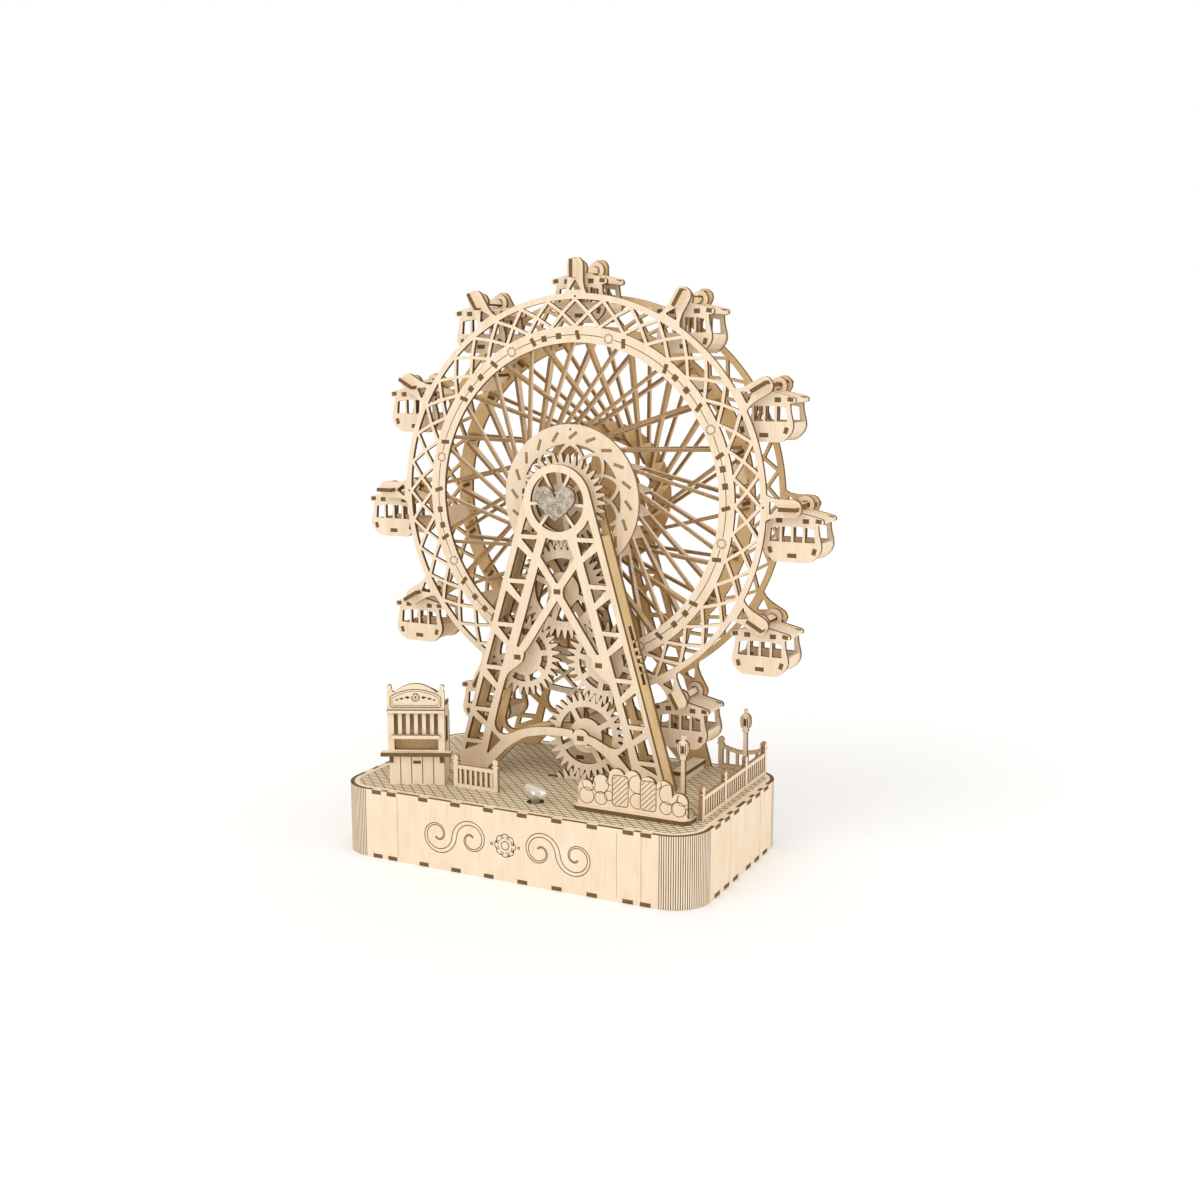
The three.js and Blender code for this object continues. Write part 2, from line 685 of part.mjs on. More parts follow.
function cabinSolid() {
  const front = cabin.front + sheet;
  const length = cabin.back - sheet - front;
  const inset = sheet / 2;
  const outside = [[cabin.waist - inset, -cabin.sill], [cabin.footHalf - sheet, -cabin.footDrop + inset]];
  const inside = outside.map(([x, z]) => [x - sheet, z + (z < -cabin.sill ? sheet : 0)]);
  const tub = polygon([...outside, ...mirrorX(outside), ...mirrorX(inside).reverse(), ...inside.reverse()]);
  const eaveX = cabin.eave - inset;
  const eaveZ = -cabin.eaveTop - inset;
  const roof = polygon([
    [eaveX, eaveZ], [0, -cabin.neck], [-eaveX, eaveZ],
    [-eaveX, eaveZ - sheet], [0, -cabin.neck - sheet], [eaveX, eaveZ - sheet],
  ]);
  return join([
    cabinPanel(cabin.front), cabinPanel(cabin.back - sheet),
    upright(tub, front, length), upright(roof, front, length),
  ]);
}

// Musical movement, hung under the deck
const plateLow = deckLow - movement.plateThickness;
const keyY = movement.keyInset - base.depth / 2;
const keyTop = base.height + key.top;
const cylinderFront = keyY + movement.cylinderGap;
const governorY = cylinderFront + governor.inset;
const governorFoot = plateLow - governor.drop;

function rodY(radius, sides, x, z, front, length) {
  return upright(polygon(circle(radius, sides, x, z)), front, length);
}

function rodZ(radius, sides, x, y, low, length) {
  return level(polygon(circle(radius, sides, x, y)), low, length);
}

const earFront = cylinderFront - movement.ear - gap;
const earBack = movement.cylinderBack + gap;
const combZ = driveZ - movement.combThick / 2;
const combTip = driveX + movement.cylinderRadius + gap * 2;

function bedplate() {
  const plate = block(
    movement.plateLeft, movement.plateRight, movement.plateInset - base.depth / 2, movement.plateBack,
    plateLow, deckLow,
  );
  const ears = [earFront, earBack].map((front) => block(
    driveX - movement.earHalf, driveX + movement.earHalf, front, front + movement.ear,
    driveZ - movement.earHalf, plateLow + overrun,
  ));
  const railLeft = combTip + movement.combLength - movement.railWidth;
  const rail = block(
    railLeft, railLeft + movement.railWidth, cylinderFront, movement.cylinderBack,
    combZ + movement.combThick, plateLow + overrun,
  );
  return cut(join([plate, ...ears, rail]), [
    rodY(movement.shaftRadius + slip, movement.sides, driveX, driveZ, earFront - overrun,
      earBack - earFront + movement.ear + overrun * 2),
    rodZ(key.plateHole, movement.sides, driveX, keyY, plateLow - overrun,
      movement.plateThickness + overrun * 2),
  ]);
}

function pinCylinder() {
  const length = movement.cylinderBack - cylinderFront;
  const shaftFront = earFront + slip;
  return join([
    rodY(movement.cylinderRadius, movement.sides, driveX, driveZ, cylinderFront, length),
    rodY(movement.shaftRadius, movement.sides, driveX, driveZ, shaftFront, movement.shaftEnd - shaftFront),
  ]);
}

function toneComb() {
  const pitch = (movement.cylinderBack - cylinderFront) / movement.combTeeth;
  const back = combTip + movement.combLength;
  const root = combTip + movement.combReach;
  const slit = movement.combSlit / 2;
  const edge = range(movement.combTeeth).flatMap((index) => {
    const y0 = cylinderFront + index * pitch + slit;
    const y1 = y0 + pitch - movement.combSlit;
    return [[root, y0], [combTip, y0], [combTip, y1], [root, y1]];
  });
  const outline = [...edge, [back, edge[edge.length - 1][1]], [back, edge[0][1]]];
  return level(polygon(outline), combZ, movement.combThick);
}

function governorFrame() {
  const { x, half, width, post, ear } = governor;
  const y = governorY;
  const foot = governorFoot;
  const left = x - half - post;
  const tray = (low) => block(left, x + width / 2, y - width / 2, y + width / 2, low, low + ear);
  const body = join([
    block(left, left + post, y - width / 2, y + width / 2, foot, plateLow), tray(foot), tray(plateLow - ear),
  ]);
  return body.subtract(rodZ(governor.spindle + slip, gear.boreSides, x, y, foot - overrun, base.height));
}

function governorFly() {
  const { x, ear, fly, spindle } = governor;
  const y = governorY;
  const foot = governorFoot;
  const thick = governor.flyThick / 2;
  return join([
    rodZ(spindle, gear.boreSides, x, y, foot, plateLow - foot - slip),
    block(x - fly, x + fly, y - thick, y + thick, foot + ear + gap, plateLow - ear - gap),
  ]);
}

function windingKey() {
  const half = key.wing / 2;
  const thick = key.wingThick / 2;
  const wingLow = keyTop - overrun;
  const wing = block(-half, half, -thick, thick, wingLow, wingLow + key.wingHeight);
  return join([
    rodZ(key.stem, movement.sides, driveX, keyY, plateLow, keyTop - plateLow),
    wing.rotate([0, 0, -key.wingTurn]).translate([driveX, keyY, 0]),
  ]);
}

function deckPlate() {
  const rise = base.height - driveZ;
  const half = dropTo(tipRadius(teeth.drive), Math.min(rise, deckLow - driveZ)) + gap * 2;
  const slot = block(
    driveX - half, driveX + half, gear.front - gap * 2, gear.front + sheet + gap * 2,
    deckLow - overrun, base.height + overrun,
  );
  const keyHole = rodZ(
    key.hole, movement.sides, driveX, keyY, deckLow - overrun, sheet + overrun * 2,
  );
  const mortises = [tower.front, tower.inner, tower.rear].flatMap((front) => footTabs(front, slip));
  const plate = level(polygon(baseOutline(sheet + slip)), deckLow);
  return cut(join([plate, ...baseTabs(deckLow, base.height, 0)]), [slot, keyHole, ...mortises]);
}

// Ticket booth, about the middle of its front foot
function boothFront() {
  const half = booth.width / 2;
  const horn = half - booth.finial;
  const top = booth.shoulder;
  const crown = range(booth.archSteps + 1).map((index) => {
    const share = index / booth.archSteps;
    return [horn - horn * 2 * share, top + (booth.archTop - top) * Math.sin(Math.PI * share)];
  });
  const outline = [
    [-half, booth.counter], [half, booth.counter], [half, booth.finialTop], [horn, booth.finialTop],
    ...crown, [-horn, booth.finialTop], [-half, booth.finialTop],
  ];
  const pitch = (booth.windowHalf * 2 + booth.bar) / (booth.bars + 1);
  const gaps = range(booth.bars + 1).map((index) => {
    const left = -booth.windowHalf + index * pitch;
    return rectangle(left, left + pitch - booth.bar, booth.barFoot, booth.barTop);
  });
  const hatch = rectangle(-booth.windowHalf, booth.windowHalf, booth.hatchFoot, booth.hatchTop);
  return pierced(upright(polygon(outline), 0), [hatch, ...gaps], 0);
}

function boothBody() {
  const half = booth.width / 2;
  const { counter, depth, roof } = booth;
  const shelfSlot = block(
    -half - overrun, half + overrun, -overrun, booth.shelfReach + slip, counter - sheet, counter,
  );
  return join([
    block(-half, half, 0, sheet, 0, counter - sheet),
    block(-half, -half + sheet, sheet, depth, 0, roof),
    block(half - sheet, half, sheet, depth, 0, roof),
    block(-half, half, depth - sheet, depth, 0, roof),
    block(-half, half, sheet, depth, roof - sheet, roof),
  ]).subtract(shelfSlot);
}

function boothShelf() {
  const half = booth.shelfWidth / 2;
  const top = booth.counter;
  const shelf = block(-half, half, -booth.shelfReach, booth.shelfReach, top - sheet, top);
  const inset = booth.width / 2 - booth.bracket;
  const brackets = [-inset, inset].map((x) => block(
    x - sheet / 2, x + sheet / 2, -booth.bracket, 0, top - sheet - booth.bracket, top - sheet + overrun / 2,
  ));
  return join([shelf, ...brackets]);
}

// Fences, along local X from zero
function fencePanel({ length, posts, balusters }) {
  const half = fence.thick / 2;
  const bay = (length - fence.post) / (posts - 1);
  const uprights = range(posts).map((index) => block(
    index * bay, index * bay + fence.post, -half, half, 0, fence.postHeight,
  ));
  const step = (bay - fence.post) / (balusters + 1);
  const bars = range(posts - 1).flatMap((panel) => range(balusters).map((index) => {
    const middle = panel * bay + fence.post + step * (index + 1);
    return block(middle - fence.baluster / 2, middle + fence.baluster / 2, -half, half, 0, fence.height);
  }));
  const rails = [[0, fence.foot], [fence.height - fence.rail, fence.height]].map(([low, high]) => (
    block(0, length, -half, half, low, high)));
  return join([...uprights, ...bars, ...rails]);
}

function lampSolid() {
  const half = sheet / 2;
  const post = lamp.post / 2;
  const headLow = lamp.height - lamp.headHeight;
  const head = lamp.head / 2;
  const outline = [
    [-lamp.foot / 2, 0], [lamp.foot / 2, 0], [lamp.foot / 2, lamp.footHeight], [post, lamp.footHeight],
    [post, headLow], [head, headLow + head], [head, lamp.height - head], [0, lamp.height],
    [-head, lamp.height - head], [-head, headLow + head], [-post, headLow], [-post, lamp.footHeight],
    [-lamp.foot / 2, lamp.footHeight],
  ];
  const leaf = upright(polygon(outline), -half);
  return leaf.add(leaf.rotate([0, 0, 90]));
}

function bushSign() {
  const left = bush.left + bush.inset;
  const span = bush.right - bush.left - bush.inset * 2;
  const bump = span / bush.humpShares.length;
  const low = base.height + sheet;
  const crown = bush.humpShares.flatMap((share, index) => {
    const middle = left + bump * (index + 1 / 2);
    const rise = bush.height * share - bump / 2;
    return arc(bump / 2, -bush.bumpSweep, bush.bumpSweep, bush.bumpSteps, middle, low + rise);
  });
  return upright(polygon([[left, low], ...crown, [left + span, low]].reverse()), bush.signFront);
}

// The object
function buildBase() {
  const ring = wallRing();
  const half = block(-base.length, base.length, -base.depth, 0, -overrun, base.height + overrun);
  place('base_floor', level(polygon(baseOutline(sheet + slip)), 0), paleWood);
  place('base_front_wall', ring.intersect(half), paleWood);
  place('base_back_wall', ring.subtract(half), paleWood);
  place('base_deck', deckPlate(), deckWood);
}

function buildMovement() {
  place('movement_bedplate', bedplate(), brass);
  const barrelLow = plateLow - gap - movement.barrelHeight;
  place('spring_barrel', rodZ(
    movement.barrelRadius, movement.sides * 2, driveX, keyY, barrelLow, movement.barrelHeight,
  ), brass);
  place('pin_cylinder', pinCylinder(), brass);
  place('tone_comb', toneComb(), steel);
  place('governor_frame', governorFrame(), steel);
  place('governor_fly', governorFly(), brass);
  place('winding_key', windingKey(), chrome);
}

function buildTower() {
  const slots = axleSlots(slip);
  const bearing = circle(axle.radius + slip, axle.sides, 0, wheelCentre);
  const openwork = [...ladderHoles(), ...headSectors(), ...slots];
  place('tower_front_plate', towerPlate(tower.front, openwork), paleWood);
  place('tower_inner_plate', towerPlate(tower.inner, [bearing, ...slots]), tanWood);
  place('tower_rear_plate', towerPlate(tower.rear, [bearing]), tanWood);
  place('heart_plate', heartPlate(), heartWood);
  towerBoards();
  axlePlaces.forEach(([name, part]) => place(`${name}_gear_axle`, gearAxleSolid(part), tanWood));
}

function buildGears() {
  const bore = gearAxle.radius + gap;
  const tight = movement.shaftRadius + slip;
  place('hub_gear', gearSolid(hubGear, axle.radius + slip, 0), paleWood, 0, 0, hubGear.z);
  place('centre_gear', gearSolid(middleGear, bore), paleWood, middleGear.x, 0, middleGear.z);
  place('right_gear', gearSolid(rightGear, bore), paleWood, rightGear.x, 0, rightGear.z);
  place('left_gear', gearSolid(leftGear, bore), paleWood, leftGear.x, 0, leftGear.z);
  place('bottom_gear', gearSolid(bottomGear, bore), paleWood, bottomGear.x, 0, bottomGear.z);
  place('drive_gear', gearSolid(driveGear, tight, 0), paleWood, driveGear.x, 0, driveGear.z);
}

function buildWheel() {
  const front = tower.front + sheet + gap;
  const length = tower.rear + sheet - front;
  place('main_axle', rodY(axle.radius, axle.sides, 0, 0, front, length), tanWood, 0, 0, wheelCentre);
  const placeOnWheel = (name, solid, material) => place(name, solid, material, 0, 0, wheelCentre);
  placeOnWheel('front_rim', rimPlate(rimFront, gap), paleWood);
  placeOnWheel('rear_rim', join([rimPlate(rimBack - sheet, 0), ...hangerBars(0), ...crossBars()]), tanWood);
  placeOnWheel('front_spoke_wheel', spokeWheel(), paleWood);
  placeOnWheel('rear_spoke_wheel', farSide(spokeWheel()), tanWood);
}

function buildCabins() {
  const solid = cabinSolid();
  range(cabin.count).forEach((index) => {
    const [x, z] = polar(hangerRadius, spin(cabin.count, index));
    place(`cabin_${String(index + 1).padStart(2, '0')}`, solid, paleWood, x, 0, wheelCentre + z);
  });
}

function buildDeckPieces() {
  const stand = base.height;
  [['booth_front', boothFront()], ['booth_body', boothBody()], ['booth_counter', boothShelf()]]
    .forEach(([name, solid]) => {
      const piece = place(name, solid, paleWood, booth.x, booth.y, stand);
      piece.rotation.z = radians(booth.turn);
    });
  const { left, right, back } = fences;
  place('left_fence', fencePanel(left), paleWood, left.start, left.across, stand);
  const side = place('right_fence', fencePanel(right), paleWood, right.across, right.start, stand);
  side.rotation.z = Math.PI / 2;
  place('back_fence', fencePanel(back), paleWood, back.start, back.across, stand);
  Object.entries(lampPlaces).forEach(([name, [x, y]]) => {
    place(`${name}_lamp`, lampSolid(), paleWood, x, y, stand);
  });
  place('bush_sign', bushSign(), paleWood);
  place('bush_sign_base', block(
    bush.left, bush.right, bush.front, bush.front + bush.plateDepth, stand, stand + sheet,
  ), paleWood);
  place('boarding_platform', block(
    platform.x, platform.x + platform.width, platform.front, platform.front + platform.length,
    stand, stand + platform.height,
  ), tanWood);
}

buildBase();
buildMovement();
buildTower();
buildGears();
buildWheel();
buildCabins();
buildDeckPieces();

export default model;
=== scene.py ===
import math

import bmesh
import bpy
from mathutils import Matrix, Vector


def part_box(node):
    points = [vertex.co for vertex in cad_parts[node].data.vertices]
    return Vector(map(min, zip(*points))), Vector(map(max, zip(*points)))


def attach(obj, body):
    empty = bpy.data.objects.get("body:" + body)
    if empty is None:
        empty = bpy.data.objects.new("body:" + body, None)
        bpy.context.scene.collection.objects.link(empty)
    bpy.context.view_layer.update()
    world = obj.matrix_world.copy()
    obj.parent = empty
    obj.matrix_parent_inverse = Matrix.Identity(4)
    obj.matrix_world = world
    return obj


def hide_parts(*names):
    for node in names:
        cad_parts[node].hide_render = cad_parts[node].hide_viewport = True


bl_info = {
    "name": "Wooden ferris wheel music box",
    "version": (1, 0, 0),
    "blender": (4, 5, 0),
    "location": "View3D > Sidebar > Music Box",
    "description": "Dresses a laser-cut plywood ferris wheel music box in its visible detail",
    "category": "Object",
}

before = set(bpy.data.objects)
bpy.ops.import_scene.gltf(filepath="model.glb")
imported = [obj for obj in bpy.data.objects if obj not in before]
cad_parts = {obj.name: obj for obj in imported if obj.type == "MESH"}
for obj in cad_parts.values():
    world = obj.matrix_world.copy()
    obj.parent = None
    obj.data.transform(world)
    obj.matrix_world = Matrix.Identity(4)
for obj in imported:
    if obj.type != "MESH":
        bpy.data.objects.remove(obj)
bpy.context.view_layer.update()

mm = 0.001
SHEET = 2 * mm

# Faces of the new pieces: veneer, charred cut edge, engraved line
FACE, EDGE, LINE = 0, 1, 2

# Engraved lines and tab ends stand this far above the veneer, so that they show
LINE_RISE = 0.02 * mm
TAB_RISE = 0.04 * mm

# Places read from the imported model
WHEEL_Z = (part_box("main_axle")[0].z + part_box("main_axle")[1].z) / 2
RIM_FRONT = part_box("front_rim")[0].y
WALL_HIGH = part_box("base_back_wall")[1]
DECK_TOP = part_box("base_deck")[1].z
CABINS = 12

# How far the tower's legs lean outwards for each rise
LEG_SLOPE = 0.29

# Points of a mesh that are nearer than this are one
WELD = 1e-7

# Stands an outline on edge: its X runs to the back, its Y up and its thickness to the right
ON_EDGE = Matrix(((0, 0, 1, 0), (1, 0, 0, 0), (0, 1, 0, 0), (0, 0, 0, 1)))


def length(name, description, millimetres):
    """A size that a user may change, given in millimetres."""
    return bpy.props.FloatProperty(
        name=name, description=description, default=millimetres * mm, unit="LENGTH", precision=5)


def turn(name, description, degrees):
    """An angle that a user may change, given in degrees."""
    return bpy.props.FloatProperty(
        name=name, description=description, default=math.radians(degrees), subtype="ANGLE")


def count(name, description, default):
    """A number of like features."""
    return bpy.props.IntProperty(name=name, description=description, default=default, min=1)


def linear(code):
    """An sRGB hex colour as linear red, green and blue."""
    parts = [int(code[i:i + 2], 16) / 255 for i in (0, 2, 4)]
    return tuple(v / 12.92 if v <= 0.04045 else ((v + 0.055) / 1.055) ** 2.4 for v in parts)


def colour(name, description, code):
    """A colour that a user may change, given as sRGB hex."""
    return bpy.props.FloatVectorProperty(
        name=name, description=description, subtype="COLOR", size=3, min=0, max=1, default=linear(code))


class MusicBoxColours(bpy.types.PropertyGroup):
    face: colour("Veneer", "Sanded basswood veneer in full light", "F3E1C8")
    face_deep: colour("Veneer figure", "The darker figure in the veneer", "EAD1B0")
    # The inner colours are a darker copy of the veneer. On the plates at the back they are painted shade, and
    # the tower's side boards and the dowels' ends also take them
    inner: colour("Inner veneer", "Raw veneer on the plates at the back", "EACF9F")
    inner_deep: colour("Inner figure", "The darker figure of the raw veneer", "DDBA84")
    deck: colour("Deck", "Veneer of the engraved deck, dulled by the laser", "F6E6C4")
    deck_deep: colour("Deck figure", "The darker figure of the deck", "EAD4AC")
    char: colour("Charred edge", "A laser-cut edge", "846844")
    char_deep: colour("Deep char", "The burnt middle of a cut edge", "644B30")
    spoke_edge: colour("Spoke edge", "A thin spoke's cut edge, toasted more lightly", "AF9069")
    spoke_edge_deep: colour("Deep spoke edge", "The darker spots of a spoke's edge", "886A49")
    line: colour("Engraving", "A line engraved by the laser", "5E4D38")
    heart: colour("Heart", "The stippled heart", "DCD0BA")
    heart_deep: colour("Heart stipple", "The burnt dots on the heart", "6B604F")
    chrome: colour("Chrome", "The winding key", "F4F3F0")
    brass: colour("Brass", "The movement's plate, barrel and cylinder", "C9A24D")
    steel: colour("Steel", "The movement's comb and governor frame", "9FA3A8")


class MusicBoxBase(bpy.types.PropertyGroup):
    corner: length("Corner radius", "Radius of the bent corners", 17.8)
    recess: length("Wall recess", "How far the walls lie inside the tab ends", 0.05)
    grooves: count("Grooves", "Grooves round each bent corner", 26)
    groove_width: length("Groove width", "Width of a bending groove", 0.36)
    groove_depth: length("Groove depth", "Depth of a bending groove", 0.7)
    tab_length: length("Tab length", "Length of an edge tab", 5.2)
    tab_spacing: length("Tab spacing", "Distance between tabs", 17.9)
    pair_spacing: length("Pair spacing", "Distance between the two tabs of an end pair", 8.6)
    front_pairs: count("Long wall tabs", "Even tabs on each half of a long wall", 4)
    side_tabs: count("Short wall tabs", "Tabs on each half of a short wall", 3)
    side_tab: length("Short wall tab", "Length of a tab of a short wall", 6.4)
    side_start: length("Short wall start", "First tab of a short wall from its middle", 8.4)
    side_spacing: length("Short wall spacing", "Distance between the tabs of a short wall", 11.5)
    border: length("Border", "Plain border round the engraved deck", 4.2)
    paving: length("Paving", "Distance between the close deck lines", 2.5)
    paving_line: length("Paving line", "Width of a close deck line", 0.9)
    paving_long: length("Paving length", "Distance between the deck lines across them", 4.1)
    paving_cross: length("Cross line", "Width of a deck line across them", 0.5)
    joint: length("Veneer joint", "Width of a veneer joint line", 0.12)
    line: length("Scroll line", "Width of the engraved scroll lines", 0.42)
    scroll: length("Scroll reach", "Half the distance between the middles of a scroll", 9.3)
    scroll_x: length("Scroll place", "Middle of each scroll from the middle of the front", 27.5)
    scroll_z: length("Scroll height", "Height of the ornament's middle", 17.2)
    rosette: length("Rosette", "Radius of the rosette", 5.6)


class MusicBoxWheel(bpy.types.PropertyGroup):
    outer: length("Rim radius", "Outer radius of a rim", 98.2)
    outer_band: length("Outer band", "Width of the rim's outer band", 2.8)
    inner: length("Rim opening", "Inner radius of a rim", 75)
    inner_band: length("Inner band", "Width of the rim's inner band", 7.8)
    bays: count("Bays", "Lattice bays round a rim", 40)
    strut: length("Strut", "Width of a lattice strut", 1.5)
    line_radius: length("Line radius", "Radius of the engraved line", 78.6)
    line: length("Line", "Width of the engraved line", 0.36)
    cog: length("Cog ornament", "Radius of an engraved cog", 2.4)
    hanger_radius: length("Hanger radius", "Radius at which the cabins hang", 109.6)
    hanger_height: length("Hanger height", "Height of a hanger bar", 8.6)
    poke: length("Hanger overhang", "How far a hanger bar stands out of a rim", 4.5)
    neck: length("Hanger neck", "Height of a hanger bar's neck", 2.8)
    neck_start: length("Neck start", "From a rim to the neck", 4)
    tip: length("Arm tip", "Wood beyond the hanger bar", 1.1)
    foot_half: length("Arm foot", "Half the width of an arm's foot", 6)
    neck_half: length("Arm neck", "Half the width of an arm's tip", 4.2)
    shoulder: length("Arm shoulder", "Height of the arm's spread foot", 5.6)
    bar_radius: length("Cross bar radius", "Radius of the bars between the rims", 78.5)
    bar_width: length("Cross bar width", "Width of a bar between the rims", 10)
    bar_tab: length("Cross bar tab", "Side of a cross bar's tab end", 2.9)
    hub_outer: length("Hub radius", "Outer radius of a hub plate", 36.3)
    hub_inner: length("Hub ring", "Inner radius of a hub plate's ring", 27)
    hub_front: length("Hub front", "Front face of the near hub plate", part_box("front_spoke_wheel")[0].y / mm)
    slot_radius: length("Slot radius", "Radius of the spoke slots", 31)
    slot_length: length("Slot length", "Length of a spoke slot", 5.5)
    arches: count("Arches", "Pointed arches in a hub plate", 10)
    arch_bar: length("Arch bar", "Width of the bars between the arches", 1.5)
    arch_foot: length("Arch foot", "Radius at which the arches end", 12)
    axle: length("Axle radius", "Radius of the main axle", 3)
    spoke_sheet: length("Spoke sheet", "Thickness of a spoke plate", 1.6)
    spokes: count("Spokes", "Spoke plates on each side", 20)
    skew: turn("Spoke skew", "Turn of a spoke plate away from the radius", 50)
    end: length("Spoke end", "Radius at which a spoke ends", 80)
    land: length("Spoke landing", "Radius at which a spoke meets the rim", 74.5)
    depth: length("Spoke depth", "Depth of a spoke's arm", 2.6)
    far_fall: length("Far fall", "How far the long arm falls towards the hub", 18)
    root: length("Root length", "Length of a spoke's root", 5)
    root_depth: length("Root depth", "Depth of a spoke's root", 10.5)
    apex: turn("Apex", "Clock angle of the first slot in a rim", 1)
    split: turn("Apex split", "Half the angle between the two arms in one slot", 1.6)


class MusicBoxTower(bpy.types.PropertyGroup):
    head: length("Head", "Radius of the round head", 17.9)
    ring: length("Ring", "Outer radius of the ring round the head's opening", 18.3)
    opening: length("Opening", "Radius of the head's opening", 14.3)
    rib: length("Rib", "Width of a rib in the head's opening", 1.5)
    rib_hub: length("Rib end", "Radius where the ribs end behind the heart", 5)
    slope: bpy.props.FloatProperty(
        name="Slope", description="Spread of a leg for each rise", default=LEG_SLOPE)
    rung: length("Rung", "Width of a rung", 2.1)
    first_rung: length("First rung", "Height of the top rung", 154.1)
    rung_spacing: length("Rung spacing", "Distance between rungs", 22.1)
    rungs: count("Rungs", "Rungs on a leg", 5)
    foot_rung: length("Foot rung", "Height of the lowest rung", 48.7)
    boss: length("Boss", "Radius of the boss round the lowest axle", 4.5)
    tab_width: length("Tab width", "Width of an axle's end", 3.7)
    tab_height: length("Tab height", "Height of an axle's end", 2.5)
    bearing: length("Bearing", "Radius of the bearing holes", 3.2)
    tooth: length("Tooth", "Height of a gear's tooth", 4.2)
    gear_bore: length("Gear bore", "Radius of a gear's bore", 2)


class MusicBoxCabin(bpy.types.PropertyGroup):
    front: length("Front", "Front face of a cabin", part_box("cabin_01")[0].y / mm)
    back: length("Back", "Back face of a cabin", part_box("cabin_01")[1].y / mm)
    hole: length("Hole", "Radius of the hanger hole", 2.1)
    eyelet: length("Eyelet", "Radius of the rounded peak", 4.2)
    eave: length("Eave", "Half the width across the eaves", 14.8)
    eave_top: length("Eave top", "Drop to the top of an eave", 4.6)
    eave_foot: length("Eave foot", "Drop to the foot of an eave", 7.2)
    wall: length("Wall", "Half the width below the eaves", 12.2)
    waist: length("Waist", "Half the width at the widest place", 14)
    waist_drop: length("Waist drop", "Drop to the widest place", 17.6)
    foot: length("Foot", "Half the width of the foot", 9.2)
    drop: length("Drop", "Drop to the underside", 25)
    window_half: length("Window row", "Half the width of the window row", 10.4)
    window_top: length("Window top", "Drop to the top of the windows", 8.6)
    window_foot: length("Window foot", "Drop to the window sill", 15.6)
    mullion: length("Mullion", "Width of the bars between windows", 1.2)
    sill: length("Side sill", "Drop to the top of a side wall", 16.2)


class MusicBoxBooth(bpy.types.PropertyGroup):
    x: length("X", "Middle of the booth's front", -58.6)
    y: length("Y", "Front of the booth", -41)
    turn: turn("Turn", "How far the booth turns to the viewer", 25)
    width: length("Width", "Width of the booth", 27.6)
    depth: length("Depth", "Depth of the booth", 22)
    counter: length("Counter", "Height of the counter", 17)
    shelf: length("Shelf width", "Width of the counter shelf", 34)
    reach: length("Shelf reach", "How far the shelf stands out", 5)
    hatch_foot: length("Hatch foot", "Foot of the hatch", 17.6)
    hatch_top: length("Hatch top", "Top of the hatch", 23.4)
    bar_foot: length("Bar foot", "Foot of the barred window", 25.4)
    bar_top: length("Bar top", "Top of the barred window", 35.6)
    window: length("Window half", "Half the width of the window", 10.7)
    bars: count("Bars", "Bars in the window", 5)
    bar: length("Bar", "Width of a bar", 1.9)
    shoulder: length("Shoulder", "Height of the sign's shoulder", 47)
    crown: length("Crown", "Height of the arched top", 50.2)
    finial: length("Finial", "Width of a finial", 2.4)
    roof: length("Roof", "Height of the roof", 40)
    planks: count("Planks", "Planks under the counter", 5)
    bracket: length("Bracket", "Size of a shelf bracket", 3.2)


class MusicBoxTrim(bpy.types.PropertyGroup):
    fence: length("Fence height", "Height of a fence's top rail", 11)
    post_height: length("Post height", "Height of a fence post", 16)
    post: length("Post", "Width of a fence post", 2.4)
    rail: length("Rail", "Height of a fence rail", 1.8)
    baluster: length("Baluster", "Width of a baluster", 1.25)
    lamp_height: length("Lamp height", "Height of a lamp", 34)
    lamp_post: length("Lamp post", "Width of a lamp post", 2.2)
    lamp_head: length("Lamp head", "Width of a lantern", 5.6)
    bush_line: length("Bush line", "Width of the engraved outlines", 0.34)
    hatching: length("Hatching", "Distance between the hatching lines", 1.75)


class MusicBoxStage(bpy.types.PropertyGroup):
    floor: colour("Floor", "The plain floor", "FEFEFE")
    floor_size: length("Floor size", "Width of the floor", 60 / mm)
    camera: bpy.props.FloatVectorProperty(
        name="Camera", description="Place of the camera", size=3, unit="LENGTH",
        default=(321.28 * mm, -608.06 * mm, 241.39 * mm))
    pitch: turn("Pitch", "How far the camera looks down", 9.73)
    yaw: turn("Yaw", "How far the camera turns to the left", 26.32)
    lens: bpy.props.FloatProperty(
        name="Lens", description="Focal length on a 36 mm sensor", default=43.19, unit="CAMERA")


# Outlines, as lists of points. A clock angle runs from straight up, in degrees
def polar(radius, clock, x=0.0, y=0.0):
    angle = math.radians(clock)
    return (x + radius * math.sin(angle), y + radius * math.cos(angle))


def arc(radius, start, end, steps, x=0.0, y=0.0):
    return [polar(radius, start + (end - start) * i / steps, x, y) for i in range(steps + 1)]


def circle(radius, steps, x=0.0, y=0.0):
    return arc(radius, 0, 360, steps, x, y)[1:]


def rectangle(x0, x1, y0, y1):
    return [(x0, y0), (x1, y0), (x1, y1), (x0, y1)]


def oblong(half_width, half_height):
    """A rectangle about the origin."""
    return rectangle(-half_width, half_width, -half_height, half_height)


def corner_turns(half_width, half_height, radius):
    """The middles of a rounded rectangle's corners, each with the clock angle where its turn starts."""
    corners = [(1, 1, 0), (1, -1, 90), (-1, -1, 180), (-1, 1, 270)]
    return [(x * (half_width - radius), y * (half_height - radius), start) for x, y, start in corners]


def rounded_rectangle(half_width, half_height, radius, steps):
    points = []
    for x, y, start in corner_turns(half_width, half_height, radius):
        points += arc(radius, start, start + 90, steps, x, y)
    return points


def mirrored(points):
    return [(-x, y) for x, y in reversed(points)]


def turned(points, clock, x=0.0, y=0.0):
    angle = math.radians(clock)
    sine, cosine = math.sin(angle), math.cos(angle)
    return [(x + px * cosine + py * sine, y + py * cosine - px * sine) for px, py in points]


def moved(points, x, y):
    return [(px + x, py + y) for px, py in points]


